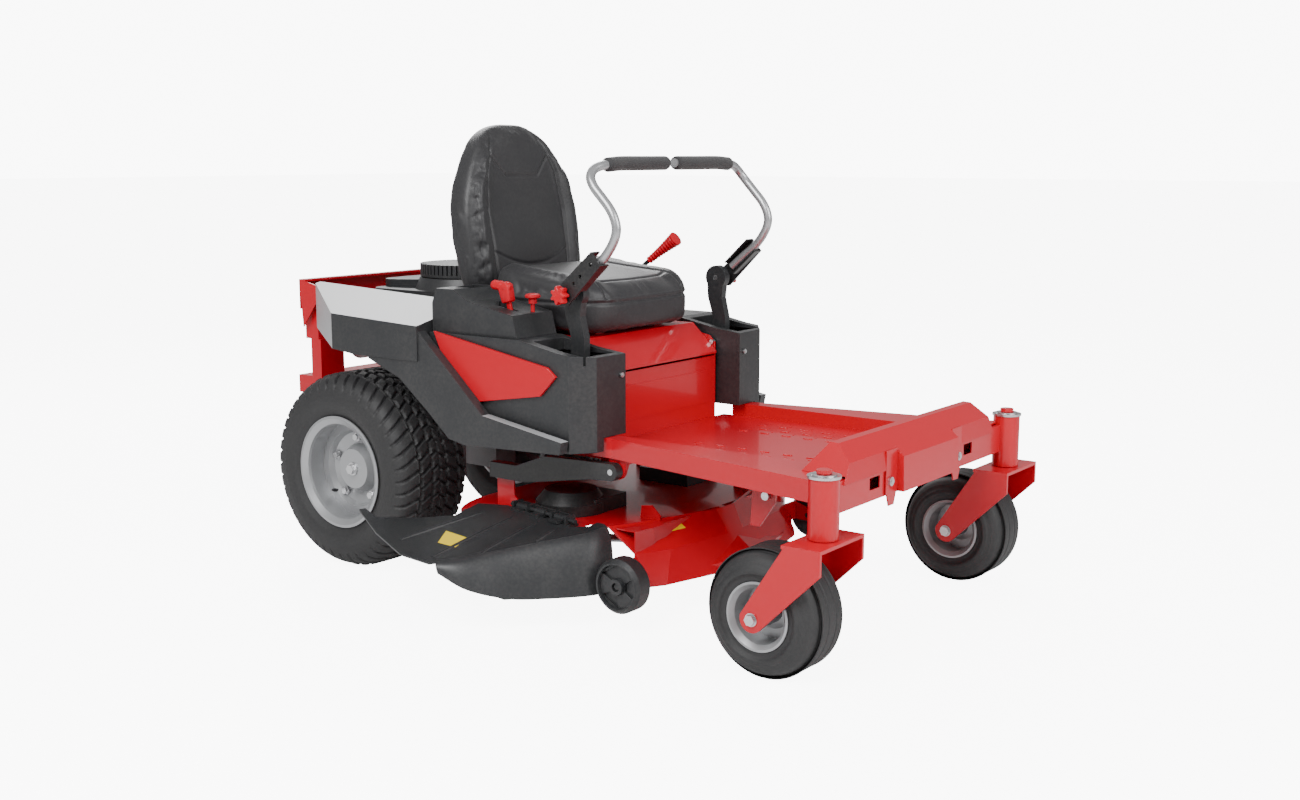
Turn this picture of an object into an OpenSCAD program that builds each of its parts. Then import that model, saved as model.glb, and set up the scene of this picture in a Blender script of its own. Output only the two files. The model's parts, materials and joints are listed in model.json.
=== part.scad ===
// Zero turn mower: a ride-on mower steered by two lap bars, with a side discharge deck.
// Frame: X forward, Y to the driver's left, Z up, the tyres stand on Z = 0.
// Every sub-part is drawn around the rear axle line and moved by place() to the middle of the row.

/* [Wheels] */
// distance from rear axle to caster axle
wheel_base = 1326; // [1150:1:1500]
// outside diameter of the rear tyres
rear_tyre_d = 508; // [440:1:560]
// width of the rear tyres
rear_tyre_w = 246; // [200:1:260]
// distance between the middles of the rear tyres
rear_track = 652; // [600:1:720]
// seat diameter of the rear rims
rear_rim_d = 254; // [203:1:305]
// outside diameter of the caster tyres
caster_tyre_d = 274; // [240:1:300]
// width of the caster tyres
caster_tyre_w = 150; // [110:1:165]
// seat diameter of the caster rims
caster_rim_d = 127; // [101:1:152]
// distance between the two caster pivots
front_track = 894; // [760:1:960]
// distance the caster axle trails its pivot
caster_trail = 111; // [80:1:130]

/* [Frame] */
// height of the top of the front side beams
beam_top = 414; // [380:1:440]
// height of the front side beams
beam_h = 47; // [35:1:60]
// width between the side beams, which is the width of the floor pan
pan_w = 550; // [460:1:560]
// width of a side beam where it leaves the seat tower
beam_w = 40; // [30:1:60]
// height of the top face of the floor pan
pan_top = 381; // [360:1:400]
// thickness of the folded sheet
sheet = 3; // [2:0.5:5]
// diameter of the caster pivot tubes
tube_d = 64; // [50:1:76]
// height of the caster pivot tubes
tube_h = 125; // [100:1:150]
// diameter of the caster stem
stem_d = 28; // [20:1:35]
// radial clearance of a turning pin in its bore
pin_gap = 0.06; // [0.03:0.01:0.1]

/* [Body] */
// half width of the seat tower
tower_half = 234; // [200:1:236]
// x of the tower front panel
tower_x = 714; // [640:1:760]
// height of the seam under the seat lip
seam_z = 543; // [500:1:560]
// height of the lap bar pillars
pillar_top = 606; // [580:1:640]
// distance of the side covers from the middle plane
side_y = 400; // [380:1:430]
// distance of the fender outside face from the middle plane
fender_y = 440; // [430:1:470]
// depth of the fenders over the tyre
fender_low = 566; // [555:1:600]
// wall of the plastic covers
wall = 4; // [3:0.5:6]

/* [Seat] */
// width of the seat cushion
seat_w = 476; // [420:1:500]
// height of the top of the backrest
back_top = 1155; // [1050:1:1200]
// thickness of the seat cushion
cushion_t = 126; // [100:1:140]

/* [Lap bars] */
// distance of a lap bar tube from the middle plane
bar_y = 320; // [300:1:340]
// outside diameter of a lap bar tube
bar_d = 22; // [18:1:28]
// outside diameter of a foam grip
grip_d = 34; // [28:1:40]
// height of the grips
grip_z = 1042; // [980:1:1080]

/* [Deck] */
// height of the deck lip above the ground
lip_z = 80; // [60:1:100]
// height of the deck shell
deck_h = 125; // [100:1:135]
// distance of each spindle from the middle plane
spindle_y = 240; // [220:1:250]
// radius of the blade chamber
chamber_r = 272; // [258:1:280]
// length of a blade
blade_l = 470; // [400:1:476]
// diameter of the deck gauge wheels
gauge_d = 126; // [100:1:140]

/* [Node] */
// which sub-part is drawn

/* [Hidden] */
$fn = 48;
pivot_x = wheel_base + caster_trail;
pivot_y = front_track/2;
caster_out = pivot_y + caster_tyre_w/2 + 22;
chute_out = 684;
nose_x = pivot_x + 46;
tail_x = 412;
place_x = -(nose_x - tail_x)/2;
place_y = -(caster_out - chute_out)/2;
rear_r = rear_tyre_d/2;
caster_r = caster_tyre_d/2;
tube_low = 304;
tube_top = tube_low + tube_h;
fork_t = 8;
fork_in = caster_tyre_w/2 + 7;
beam_low = beam_top - beam_h;
pan_half = pan_w/2;
knob_x = 678;
knob_z = 742;
arm_pivot = [690, 432];
swing_z = 480;
arm_in = 284;
arm_t = 22;
hinge_x = 705;
hinge_z = 578;
spindle_x = 612;
deck_top = lip_z + deck_h;
gauge_x = 912;
gauge_y = 423;
gauge_z = 47 + gauge_d/2;
lug_x = 806;
lug_z = 338;
hang_x = 456;
hang_z = 298;
arm_y = 322;
screen_x = 54;
brake_p = [420, 600];
throttle_p = [520, 652];
axle_d = 16;

// ---- helpers ----

// moves a drawing from the rear axle line to the middle of the row
module place() {
  translate([place_x, place_y, 0]) children();
}

// mirrors a right hand drawing to the left when s is 1
module side(s) {
  if (s > 0) mirror([0, 1, 0]) children();
  else children();
}

// a plate drawn as [x, z] points, from y0 toward y1
module plate_xz(pts, y0, y1) {
  translate([0, y1, 0]) rotate([90, 0, 0])
    linear_extrude(y1 - y0) polygon(pts);
}

// a plate drawn as [y, z] points, from x0 toward x1
module plate_yz(pts, x0, x1) {
  translate([x0, 0, 0]) rotate([90, 0, 90])
    linear_extrude(x1 - x0) polygon(pts);
}

// a plate drawn as [x, y] points, from z0 toward z1
module plate_xy(pts, z0, z1) {
  translate([0, 0, z0]) linear_extrude(z1 - z0) polygon(pts);
}

// a cylinder along Y centred on y
module ycyl(x, y, z, d, h) {
  translate([x, y, z]) rotate([90, 0, 0]) cylinder(d = d, h = h, center = true);
}

// a cylinder along X starting at x
module xcyl(x, y, z, d, h) {
  translate([x, y, z]) rotate([0, 90, 0]) cylinder(d = d, h = h);
}

// a cylinder along Z starting at z
module zcyl(x, y, z, d, h) {
  translate([x, y, z]) cylinder(d = d, h = h);
}

// a block from corner a to corner b
module block(a, b) {
  translate(a) cube(b - a);
}

// points of an arc about c from angle a0 to a1 in n steps
function arc(c, r, a0, a1, n) =
  [for (i = [0 : n]) c + r*[cos(a0 + (a1 - a0)*i/n), sin(a0 + (a1 - a0)*i/n)]];

// mirror image of a list of [x, y] points about the x axis
function flip(pts) = [for (i = [len(pts) - 1 : -1 : 0]) [pts[i][0], -pts[i][1]]];

// ---- frame ----

// outline of a right hand side beam seen from above
function beam_outline(in) = [
  [tower_x + 28, -pan_half - in], [pivot_x - 20, -pan_half - in],
  [pivot_x - 12, -pivot_y + 2 + in], [pivot_x - 48, -pivot_y + 22 + in],
  [784 + 12, -pan_half - beam_w + in], [tower_x + 28, -pan_half - beam_w + in]];

module beam_right() {
  difference() {
    plate_xy(beam_outline(0), beam_low, beam_top);
    difference() {
      plate_xy(beam_outline(sheet), beam_low - 1, beam_top - sheet);
      zcyl(pivot_x, -pivot_y, beam_low - 2, tube_d + 8, beam_h);
    }
    zcyl(pivot_x, -pivot_y, beam_low - 2, tube_d - 1, beam_h + 4);
  }
}

module pivot_tube() {
  difference() {
    zcyl(pivot_x, -pivot_y, tube_low, tube_d, tube_h);
    zcyl(pivot_x, -pivot_y, tube_low - 1, stem_d + 2*pin_gap, tube_h + 2);
    zcyl(pivot_x, -pivot_y, tube_low + 22, tube_d - 12, tube_h - 44);
  }
}

// lug under the side beam that carries the deck lift arm
module lift_lug() {
  difference() {
    plate_xz(concat([[lug_x + 34, beam_low + 2], [lug_x - 22, beam_low + 2]],
      arc([lug_x, lug_z], 22, 180, 330, 8)), -arm_y + 14, -arm_y + 26);
    ycyl(lug_x, -arm_y, lug_z, 14 + 2*pin_gap, 80);
  }
}

module frame_rails() {
  color("red") place() {
    for (s = [0, 1]) side(s) {
      beam_right();
      pivot_tube();
      lift_lug();
    }
    difference() {
      block([pivot_x - 32, -pivot_y + 20, 342], [pivot_x - 2, pivot_y - 20, 408]);
      block([pivot_x - 32 + sheet, -pivot_y, 342 + sheet],
        [pivot_x - 2 - sheet, pivot_y, 408 - sheet]);
      for (s = [-1, 1]) {
        zcyl(pivot_x, s*pivot_y, 330, tube_d - 1, 90);
        block([pivot_x - 6, s*230 - 22, 366], [pivot_x, s*230 + 22, 392]);
      }
    }
    block([tower_x + 28, -pan_half - 12, beam_low - 30],
      [tower_x + 70, pan_half + 12, beam_low]);
    // front deck hangers
    for (s = [-1, 1]) plate_xz([[1180, beam_low + 1], [1242, beam_low + 1],
      [1236, 320], [1198, 264], [1174, 264]], s*303 - 3, s*303 + 3);
  }
}

module floor_pan() {
  px0 = tower_x + 0.3;
  px1 = pivot_x - 34;
  color("red") place() difference() {
    union() {
      block([px0, -pan_half, pan_top - sheet], [px1, pan_half, pan_top]);
      for (y = [-1, 1]) block([px0, y*84 - 26, pan_top - 9],
        [px1, y*84 + 26, pan_top - sheet]);
    }
    for (i = [0 : 5], j = [-1, 1], k = [0 : 2])
      translate([900 + i*62 + (k % 2)*26, j*(120 + k*44), pan_top - 10])
        cylinder(d = 7, h = 20, $fn = 24);
  }
}

// solid under the folded foot plate; t is the distance drawn inward
module foot_wedge(fx, t) {
  low = pan_top + (t > 0 ? 0.5 : 1);
  intersection() {
    plate_xz([[fx - 129 + 1.3*t, low], [fx - 57 + t/2, 475 - t],
      [fx - 38 - t/3, 474 - t], [fx - t, 440 - t/2], [fx + 4 - t, 398],
      [fx + 4 - t, low]], -400, 400);
    plate_yz([[-378 + t, low - 1], [378 - t, low - 1], [319 - t, 477], [-319 + t, 477]],
      fx - 140, fx + 20);
  }
}

// folded foot plate with a raised nose in the middle
module foot_plate() {
  fx = pivot_x - 2;
  nose = [[fx - 2, 442], [fx + 19, 423], [fx + 21, 345], [fx + 18, 345],
    [fx + 16, 422], [fx - 4, 439]];
  color("red") place() {
    difference() {
      foot_wedge(fx, 0);
      foot_wedge(fx, sheet);
      block([fx - 20, -400, 360], [fx + 10, 400, 398]);
      for (s = [-1, 1]) block([fx - 140, s*337.6 - 62.6, 360],
        [fx + 0.3, s*337.6 + 62.6, beam_top + 0.3]);
    }
    plate_xz(nose, -134, 134);
    for (s = [-1, 1]) {
      plate_xz([[fx - 4, 439], [fx + 19, 423], [fx + 21, 345], [fx + 2, 345],
        [fx + 2, 404]],
        s*134 - 2, s*134 + 2);
      block([fx + 1, s*160 - 26, 345], [fx + 4, s*160 + 26, 440]);
      plate_yz([[s*160 - 22, 346], [s*160 + 22, 346], [s*160 + 12, 318],
        [s*160 - 12, 318]], fx + 1, fx + 4);
    }
  }
}

module seat_tower() {
  low = pan_top - sheet;
  color("red") place() {
    difference() {
      union() {
        block([tower_x - sheet, -tower_half, low], [tower_x, tower_half, seam_z]);
        for (s = [-1, 1]) plate_xz([[340, low], [tower_x, low],
          [tower_x, seam_z + 34], [tower_x - 18, seam_z + 52],
          [tower_x - 110, 612], [340, 612]], s*(tower_half - 1.5) - 1.5,
          s*(tower_half - 1.5) + 1.5);
        block([340, -tower_half, low], [343, tower_half, 600]);
        block([340, -tower_half, low], [tower_x, tower_half, pan_top]);
        block([tower_x, -196, pan_top + 42], [tower_x + 2, 196, seam_z - 34]);
      }
      for (s = [-1, 1]) ycyl(hinge_x, s*tower_half, hinge_z, 12 + 2*pin_gap, 20);
    }
    // stub shafts of the lap bar hubs and of the brake lever
    for (s = [-1, 1]) ycyl(arm_pivot[0], s*(tower_half + 43), arm_pivot[1], 16, 90);
    ycyl(brake_p[0], tower_half + 28, brake_p[1], 12, 60);
  }
}

// rear rails, engine plate, uprights and lower bumper
module rear_frame() {
  color("red") place() difference() {
    union() {
      for (s = [-1, 1]) {
        block([-332, s*170 - 22, 330], [tower_x + 28, s*170 + 22, 377.7]);
        block([-332, s*190 - 42, 330], [-292, s*190 + 42, 556]);
      }
      block([-320, -192, 376], [339.7, 192, 383.7]);
      block([-tail_x, -212, 396], [-332, 212, 446]);
    }
    block([-tail_x + 4, -208, 390], [-336, 208, 442]);
    zcyl(screen_x, 0, 370, 90, 30);
  }
}

// upper engine guard: a rear wall with two tapering side wings
module engine_guard() {
  color("red") place() {
    block([-352, -250, 640], [-348, 250, 722]);
    block([-348, -250, 716], [-326, 250, 722]);
    for (s = [-1, 1]) {
      plate_xz([[-352, 722], [-274, 706], [-280, 664], [-340, 590]],
        s*248 - 2, s*248 + 2);
      block([-352, s*212 - 20, 556], [-300, s*212 + 20, 641]);
    }
  }
}

// ---- covers ----

// right hand side cover with the lap bar pillar
module side_cover(s) {
  yi = tower_half + 5;
  color("#1b1c1e") place() side(s) difference() {
    plate_xy([[300, -yi], [784, -yi - 4], [780, -347], [740, -side_y], [300, -side_y]],
      383, 636);
    plate_xy([[292, -yi - wall], [784 - wall, -yi - wall - 4],
      [776 - wall/2, -345 + wall/2], [738 - wall/2, -side_y + wall],
      [292, -side_y + wall]], 380, pillar_top - wall);
    plate_xy([[292, -yi - wall], [580, -yi - wall], [580, -side_y + wall],
      [292, -side_y + wall]], 380, 636 - wall);
    // top falls from the console to the pillar
    plate_xz([[585, 637], [705, 614], [790, pillar_top - 2], [790, 640]],
      -side_y - 1, -yi + 1);
    // slot for the lap bar arm
    block([612, -372, pillar_top - 20], [764, -262, 640]);
    // room for the rails and the stub shafts
    block([700, -pan_half - beam_w - 8, 370], [790, -yi + 1, beam_top + 0.5]);
    ycyl(arm_pivot[0], -yi, arm_pivot[1], 24, 30);
    // rear edge follows the fender arm
    plate_xz([[290, 370], [404, 370], [336, 446], [290, 480]], -side_y - 1, -yi + 1);
    if (s > 0) {
      ycyl(brake_p[0], -yi, brake_p[1], 20, 30);
      block([384, -294, 590], [450, -270, 640]);
    }
  }
}

// fender with the sloping arm that joins the foot of the pillar
module fender(s) {
  yo = fender_y;
  color("#232427") place() side(s) {
    difference() {
      union() {
        // raised body over the tyre
        plate_xy([[-270, -262], [-8, -yo], [296, -yo], [296, -245], [-270, -245]],
          fender_low, 720);
        // sloping arm
        plate_xz([[120, fender_low - 6], [230, 518], [330, 440], [392, 386],
          [440, 376], [740, 387], [746, 416], [503, 454], [396, 551],
          [286, 648], [120, 655]], -yo + 4, -side_y - 9.3);
      }
      // top plane falls outward and forward
      translate([0, -250, 707]) rotate([12.5, 2.4, 0])
        block([-400, -300, 0], [420, 60, 120]);
      // hollow for the tyre and the engine bay
      plate_xy([[-262, -260], [-8, -yo + 5], [290, -yo + 5], [290, -240],
        [-262, -240]], fender_low - 60, 636);
      // lower edge rises to the rear
      plate_xz([[-300, 540], [-300, 596], [-20, fender_low + 10],
        [90, fender_low - 2], [90, 540]], -yo - 1, -230);
    }
  }
}

module side_inserts() {
  pts = [[322, 640], [353, 575], [462, 479], [660, 511], [708, 560], [682, 580]];
  color("#d11a1f") place() for (s = [0, 1]) side(s)
    plate_xz(pts, -side_y - 9, -side_y - 0.3);
}

module console_right() {
  color("#1d1e20") place() difference() {
    union() {
      plate_xz([[300, 636.3], [574, 636.3], [560, 690], [420, 716], [370, 742],
        [314, 742], [300, 706]], -388, -244);
      zcyl(470, -318, 700, 36, 15);
    }
    // outside bevel
    translate([0, -388, 672]) rotate([28, 0, 0])
      block([280, -80, 0], [620, 0, 140]);
    // pocket behind the controls
    block([322, -330, 700], [372, -262, 760]);
    // bore of the pull knob and the throttle slot
    zcyl(548, -300, 640, 10 + 2*pin_gap, 80);
    block([472, -342, 630], [534, -330, 730]);
    ycyl(throttle_p[0], -336, throttle_p[1], 8 + 2*pin_gap, 30.4);
    // hollow
    block([308, -380, 630], [462, -252, 668]);
  }
}

// ---- engine ----

module engine_block() {
  color("#3a3b3e") place() {
    block([-90, -110, 384], [190, 110, 470]);
    zcyl(screen_x, 0, 340, 40, 60);
    for (i = [0 : 9]) block([-96, -150, 470 + i*14], [205, 150, 478 + i*14]);
    block([-80, -120, 470], [190, 120, 622]);
    for (s = [-1, 1]) block([-128, s*112 - 38, 494], [-96, s*112 + 38, 566]);
  }
}

module blower_housing() {
  color("#2a2b2e") place() difference() {
    union() {
      hull() {
        for (s = [-1, 1]) {
          zcyl(-130, s*110, 622, 90, 80);
          zcyl(160, s*110, 622, 90, 80);
        }
      }
      hull() {
        zcyl(screen_x, 0, 700, 290, 1);
        zcyl(screen_x, 0, 700, 262, 34);
      }
      hull() {
        zcyl(-150, 60, 700, 80, 22);
        zcyl(-150, -60, 700, 80, 22);
        zcyl(0, 0, 700, 120, 26);
      }
    }
    zcyl(screen_x, 0, 660, 236, 90);
    zcyl(screen_x, 0, 600, 32, 90);
  }
}

module flywheel_screen() {
  color("#1a1b1d") place() {
    difference() {
      zcyl(screen_x, 0, 664, 228, 74);
      zcyl(screen_x, 0, 670, 208, 60);
      for (i = [0 : 47]) translate([screen_x, 0, 738]) rotate([0, 0, i*7.5])
        block([78, -2, -10], [120, 2, 1]);
    }
    difference() {
      zcyl(screen_x, 0, 737, 260, 34);
      zcyl(screen_x, 0, 736, 226, 29);
      for (i = [0 : 59]) translate([screen_x, 0, 0]) rotate([0, 0, i*6])
        block([118, -2, 744], [140, 2, 780]);
    }
    zcyl(screen_x, 0, 622.3, 30, 120);
  }
}

module muffler() {
  color("#85878b") place() {
    translate([-228, 0, 548]) rotate([90, 0, 0])
      cylinder(d = 96, h = 300, center = true);
    for (s = [-1, 1]) xcyl(-200, s*112, 530, 30, 71.7);
    xcyl(-330, 120, 520, 32, 100);
  }
}

module fuel_cap() {
  color("#151618") place() translate([0, 250, 707]) rotate([-12.5, 2.4, 0])
    translate([-160, 52, 0.3]) {
      cylinder(d = 40, h = 8);
      translate([0, 0, 6]) cylinder(d = 58, h = 20);
    }
}

module transaxles() {
  color("#2c2d30") place() for (s = [0, 1]) side(s) {
    block([-80, -142, 190], [90, -60, 318]);
    block([-40, -172, 300], [40, -120, 330]);
    ycyl(0, -150, rear_r, 90, 40);
    ycyl(0, -181, rear_r, 34, 30);
    zcyl(46, -100, 318, 46, 10);
    ycyl(0, -288, rear_r, 30, 196);
  }
}

module cap_and_nut() {
  difference() {
    zcyl(pivot_x, -pivot_y, tube_top + 0.3, tube_d + 6, 5);
    zcyl(pivot_x, -pivot_y, tube_top, 20, 20);
  }
  difference() {
    zcyl(pivot_x, -pivot_y, tube_top + 5.3, 52, 3);
    zcyl(pivot_x, -pivot_y, tube_top, 20, 20);
  }
}

// bolts of the foot plate, the tower hinge and the pillar screws
module bolt_x(x, y, z, d) {
  xcyl(x, y, z, d, 5);
  xcyl(x + 0.5, y, z, d*0.6, 7);
}

module fasteners() {
  fx = pivot_x + 2;
  color("#b9bcc0") place() {
    for (s = [0, 1]) side(s) cap_and_nut();
    for (s = [-1, 1]) {
      bolt_x(fx, s*168, 372, 20);
      bolt_x(784.1, s*262, 556, 12);
      ycyl(lug_x, s*(arm_y - 8), lug_z, 14, 40);
      ycyl(1217, s*312, 336, 18, 11.4);
      ycyl(hinge_x, s*(tower_half - 2), hinge_z, 12, 12);
    }
  }
}

// ---- rear wheels ----

// cross section of a tyre: radius across, y along the axle
function tyre_section(r, w, bead, rim_w) = concat(
  [[bead, -rim_w/2], [bead + 11, -rim_w/2 - 10], [bead + 21, -rim_w/2 - 11.5]],
  [[bead + (r - bead)*0.40, -w/2], [r - 34, -w/2 + 5], [r - 13, -w/2 + 20]],
  [[r - 3, -w/2 + 48], [r, -w/4], [r, w/4], [r - 3, w/2 - 48]],
  [[r - 13, w/2 - 20], [r - 34, w/2 - 5], [bead + (r - bead)*0.40, w/2]],
  [[bead + 21, rim_w/2 + 11.5], [bead + 11, rim_w/2 + 10]],
  [[bead, rim_w/2], [bead + 9, rim_w/2 - 6]],
  [[bead + 14, w/2 - 18], [r - 40, w/2 - 16], [r - 16, w/2 - 50]],
  [[r - 16, -w/2 + 50], [r - 40, -w/2 + 16], [bead + 14, -w/2 + 18]],
  [[bead + 9, -rim_w/2 + 6]]);

module wheel_place(s) {
  side(s) translate([0, -rear_track/2, rear_r]) rotate([90, 0, 0]) children();
}

module rear_tyre(s) {
  color("#1c1d1e") place() wheel_place(s) rotate_extrude($fn = 96)
    polygon(tyre_section(rear_r, rear_tyre_w, rear_rim_d/2 - 0.5, 196));
}

// rim drawn as one turned section: outer flange, well, stepped dish and hub
module rear_rim(s) {
  b = rear_rim_d/2;
  color("#9a9da1") place() wheel_place(s) difference() {
    rotate_extrude($fn = 96) polygon([[b + 19, 112], [b + 11, 112],
      [b + 1, 104], [b - 1, 98], [b - 1, -98], [b + 1, -104], [b + 11, -112],
      [b + 19, -112], [b + 19, -115], [b + 12, -116], [b - 2, -107],
      [b - 4, -100], [b - 4, 48], [b - 23, 52], [b - 30, 39], [60, 31],
      [50, 55], [28, 52], [28, -70], [15.1, -70], [15.1, 64], [52, 64],
      [64, 36], [b - 34, 44], [b - 26, 58], [b - 4, 56], [b - 4, 100],
      [b - 2, 107], [b + 12, 116], [b + 19, 115]]);
    for (i = [0 : 4]) rotate([0, 0, i*72 + 18]) translate([82, 0, 20])
      cylinder(d = 13, h = 40);
  }
}

module wheel_bolts(s) {
  color("#c4c7ca") place() wheel_place(s) {
    for (i = [0 : 4]) rotate([0, 0, i*72 + 18]) translate([82, 0, 24]) {
      cylinder(d = 12.8, h = 24);
      translate([0, 0, 20.6]) cylinder(d = 22, h = 4);
      translate([0, 0, 24]) cylinder(d = 18, h = 8, $fn = 6);
    }
    translate([0, 0, 64.3]) cylinder(d = 34, h = 4);
    translate([0, 0, 68]) cylinder(d = 26, h = 10, $fn = 6);
  }
}

// ---- casters ----

module caster_place(s) {
  side(s) translate([wheel_base, -pivot_y, caster_r]) rotate([90, 0, 0])
    children();
}

module caster_fork(s) {
  zt = tube_low - 1.2;
  leg = concat([[pivot_x + 45, zt - fork_t], [pivot_x - 40, zt - fork_t]],
    [[wheel_base - 27, caster_r + 8]],
    arc([wheel_base, caster_r], 28, 170, 325, 10),
    [[pivot_x + 45, zt - 52]]);
  color("#c8171c") place() side(s) {
    difference() {
      union() {
        block([pivot_x - 44, -pivot_y - fork_in - fork_t, zt - fork_t],
          [pivot_x + 45, -pivot_y + fork_in + fork_t, zt]);
        for (k = [-1, 1]) plate_xz(leg,
          -pivot_y + k*(fork_in + fork_t/2) - fork_t/2,
          -pivot_y + k*(fork_in + fork_t/2) + fork_t/2);
        zcyl(pivot_x, -pivot_y, zt - 1, 44, 1.9);
        zcyl(pivot_x, -pivot_y, zt - 2, stem_d, tube_h - 6);
        zcyl(pivot_x, -pivot_y, zt, 19, tube_h + 18);
        zcyl(pivot_x, -pivot_y, tube_top + 9, 32, 8);
      }
      ycyl(wheel_base, -pivot_y, caster_r, axle_d + 2*pin_gap, 260);
    }
  }
}

module caster_tyre(s) {
  color("#1d1e1f") place() caster_place(s) rotate_extrude($fn = 96)
    polygon(tyre_section(caster_r, caster_tyre_w, caster_rim_d/2 - 0.5, 112));
}

module caster_rim(s) {
  b = caster_rim_d/2;
  r = axle_d/2 + pin_gap;
  color("#8f9296") place() caster_place(s) rotate_extrude($fn = 72)
    polygon([[b + 10, 66], [b + 6, 66], [b - 1, 57], [b - 1, -57],
      [b + 6, -66], [b + 10, -66], [b + 10, -69], [b + 5, -70], [b - 4, -60],
      [b - 4, -8], [40, -6], [25, -10], [25, -70], [r, -70], [r, 70], [25, 70],
      [25, 10], [40, 6], [b - 4, 8], [b - 4, 60], [b + 5, 70], [b + 10, 69]]);
}

module caster_axle(s) {
  l = 2*(fork_in + fork_t);
  color("#c4c7ca") place() side(s) {
    ycyl(wheel_base, -pivot_y, caster_r, axle_d, l);
    for (k = [-1, 1]) {
      translate([wheel_base, -pivot_y + k*(l/2 + 1), caster_r]) rotate([90, 0, 0])
        cylinder(d = 28, h = 2, center = true);
      translate([wheel_base, -pivot_y + k*(l/2 + 5), caster_r]) rotate([90, 0, 0])
        cylinder(d = 24, h = 8, center = true, $fn = 6);
    }
  }
}

// ---- lap bars ----

// hub of a lap bar: turns fore and aft on the stub shaft and carries the swing pin
module arm_hub(s) {
  ax = arm_pivot[0];
  yc = -arm_in - arm_t/2;
  color("#3a3b3e") place() side(s) difference() {
    union() {
      ycyl(ax, yc, arm_pivot[1], 42, 40);
      block([ax - 10, yc - 7, arm_pivot[1]], [ax + 10, yc + 7, swing_z + 12]);
      xcyl(ax - 22, yc, swing_z, 12, 44);
    }
    ycyl(ax, yc, arm_pivot[1], 16 + 2*pin_gap, 60);
  }
}

// lower arm: a moulded lever with a round head, swinging out on its hub
module control_arm(s) {
  ax = arm_pivot[0];
  yc = -arm_in - arm_t/2;
  color("#17181a") place() side(s) difference() {
    union() {
      plate_xz([[ax - 20, swing_z - 16], [ax + 20, swing_z - 16], [ax + 20, 640],
        [ax + 8, 690], [knob_x + 24, knob_z - 18], [knob_x - 26, knob_z - 14],
        [ax - 36, 690], [ax - 20, 640]], yc - arm_t/2, yc + arm_t/2);
      ycyl(knob_x, yc, knob_z, 62, arm_t);
      ycyl(knob_x, -bar_y + 1.3, knob_z, 30, 28.8);
    }
    block([ax - 10.4, yc - 20, swing_z - 20], [ax + 10.4, yc + 20, swing_z + 20]);
    xcyl(ax - 30, yc, swing_z, 12 + 2*pin_gap, 60);
    ycyl(knob_x, -bar_y, knob_z, 14 + 2*pin_gap, 140);
  }
}

// unit direction of the bracket, from the knob toward the tube
bx = 0.735;
bz = 0.678;

// a point u along the bracket and v above it
function brk(u, v) = [knob_x + u*bx - v*bz, knob_z + u*bz + v*bx];

module bar_bracket(s) {
  yo = -bar_y - 15;
  color("#1a1b1d") place() side(s) difference() {
    union() {
      plate_xz(concat([brk(128, 21), brk(-6, 24)], [brk(-26, 8), brk(-26, -12)],
        [brk(-8, -26), brk(128, -21)]), yo - 5, yo + 1.7);
      plate_xz([brk(36, -21), brk(128, -21), brk(128, -17), brk(36, -17)],
        yo, -bar_y + 12);
      plate_xz([brk(36, 21), brk(128, 21), brk(128, 17), brk(36, 17)],
        yo, -bar_y + 12);
    }
    ycyl(knob_x, -bar_y, knob_z, 14 + 2*pin_gap, 140);
    for (u = [41, 66, 108]) translate([brk(u, 0)[0], yo, brk(u, 0)[1]])
      rotate([90, 0, 0]) cylinder(d = 9, h = 40, center = true);
  }
}

// one straight piece of tube with a ball at its far end
module rod(a, b, d) {
  v = b - a;
  l = norm(v);
  translate(a) rotate([0, acos(v[2]/l), atan2(v[1], v[0])])
    cylinder(d = d, h = l, $fn = 32);
  translate(b) sphere(d = d + 0.6, $fn = 32);
}

// centre line of a lap bar from its foot to the tip of the grip
function bar_path() = [
  [brk(41, 0)[0], -bar_y, brk(41, 0)[1]], [781, -bar_y, 833],
  [809, -bar_y, 868], [818, -bar_y, 893], [814, -bar_y, 918],
  [799, -bar_y, 944], [774, -bar_y, 972], [752, -bar_y, 995],
  [738, -bar_y + 6, 1013], [731, -bar_y + 20, 1028], [732, -bar_y + 42, 1034],
  [737, -262, grip_z - 4], [737, -196, grip_z], [736, -14, grip_z]];

module lap_bar(s) {
  pts = bar_path();
  foot = pts[0];
  color("#a7aaae") place() side(s) {
    for (i = [0 : len(pts) - 3]) rod(pts[i], pts[i + 1], bar_d);
    rod(pts[12], [736, -24, grip_z], bar_d);
    translate([foot[0], -bar_y, foot[2]]) rotate([90, 0, 0])
      cylinder(d = 30, h = 25, center = true);
    for (u = [41, 66]) translate([brk(u, 0)[0], -bar_y - 6, brk(u, 0)[1]])
      rotate([90, 0, 0]) cylinder(d = 8.8, h = 38, center = true);
  }
}

// one straight round bar without an end ball
module stick(a, b, d) {
  v = b - a;
  l = norm(v);
  translate(a) rotate([0, acos(v[2]/l), atan2(v[1], v[0])])
    cylinder(d = d, h = l, $fn = 32);
}

module bar_grip(s) {
  elbow = [737, -196, grip_z];
  color("#2b2c2e") place() side(s) {
    difference() {
      stick([737, -262, grip_z - 4], elbow, grip_d);
      stick([737, -295, grip_z - 6], [737, -163, grip_z + 2], bar_d + 1);
    }
    difference() {
      stick(elbow + [0, 1.6, 0], [736, -24, grip_z], grip_d);
      stick(elbow + [0, -20, 0], [736, -16, grip_z], bar_d + 1);
    }
  }
}

module bar_knob(s) {
  yo = -bar_y - 20.4;
  color("#c8171c") place() side(s) {
    translate([knob_x, yo - 12, knob_z]) rotate([90, 0, 0]) {
      cylinder(d = 34, h = 24, center = true);
      for (i = [0 : 6]) rotate([0, 0, i*360/7]) translate([17, 0, 0])
        cylinder(d = 13, h = 20, center = true, $fn = 24);
    }
    ycyl(knob_x, -bar_y + 6, knob_z, 14, 60);
  }
}

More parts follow.
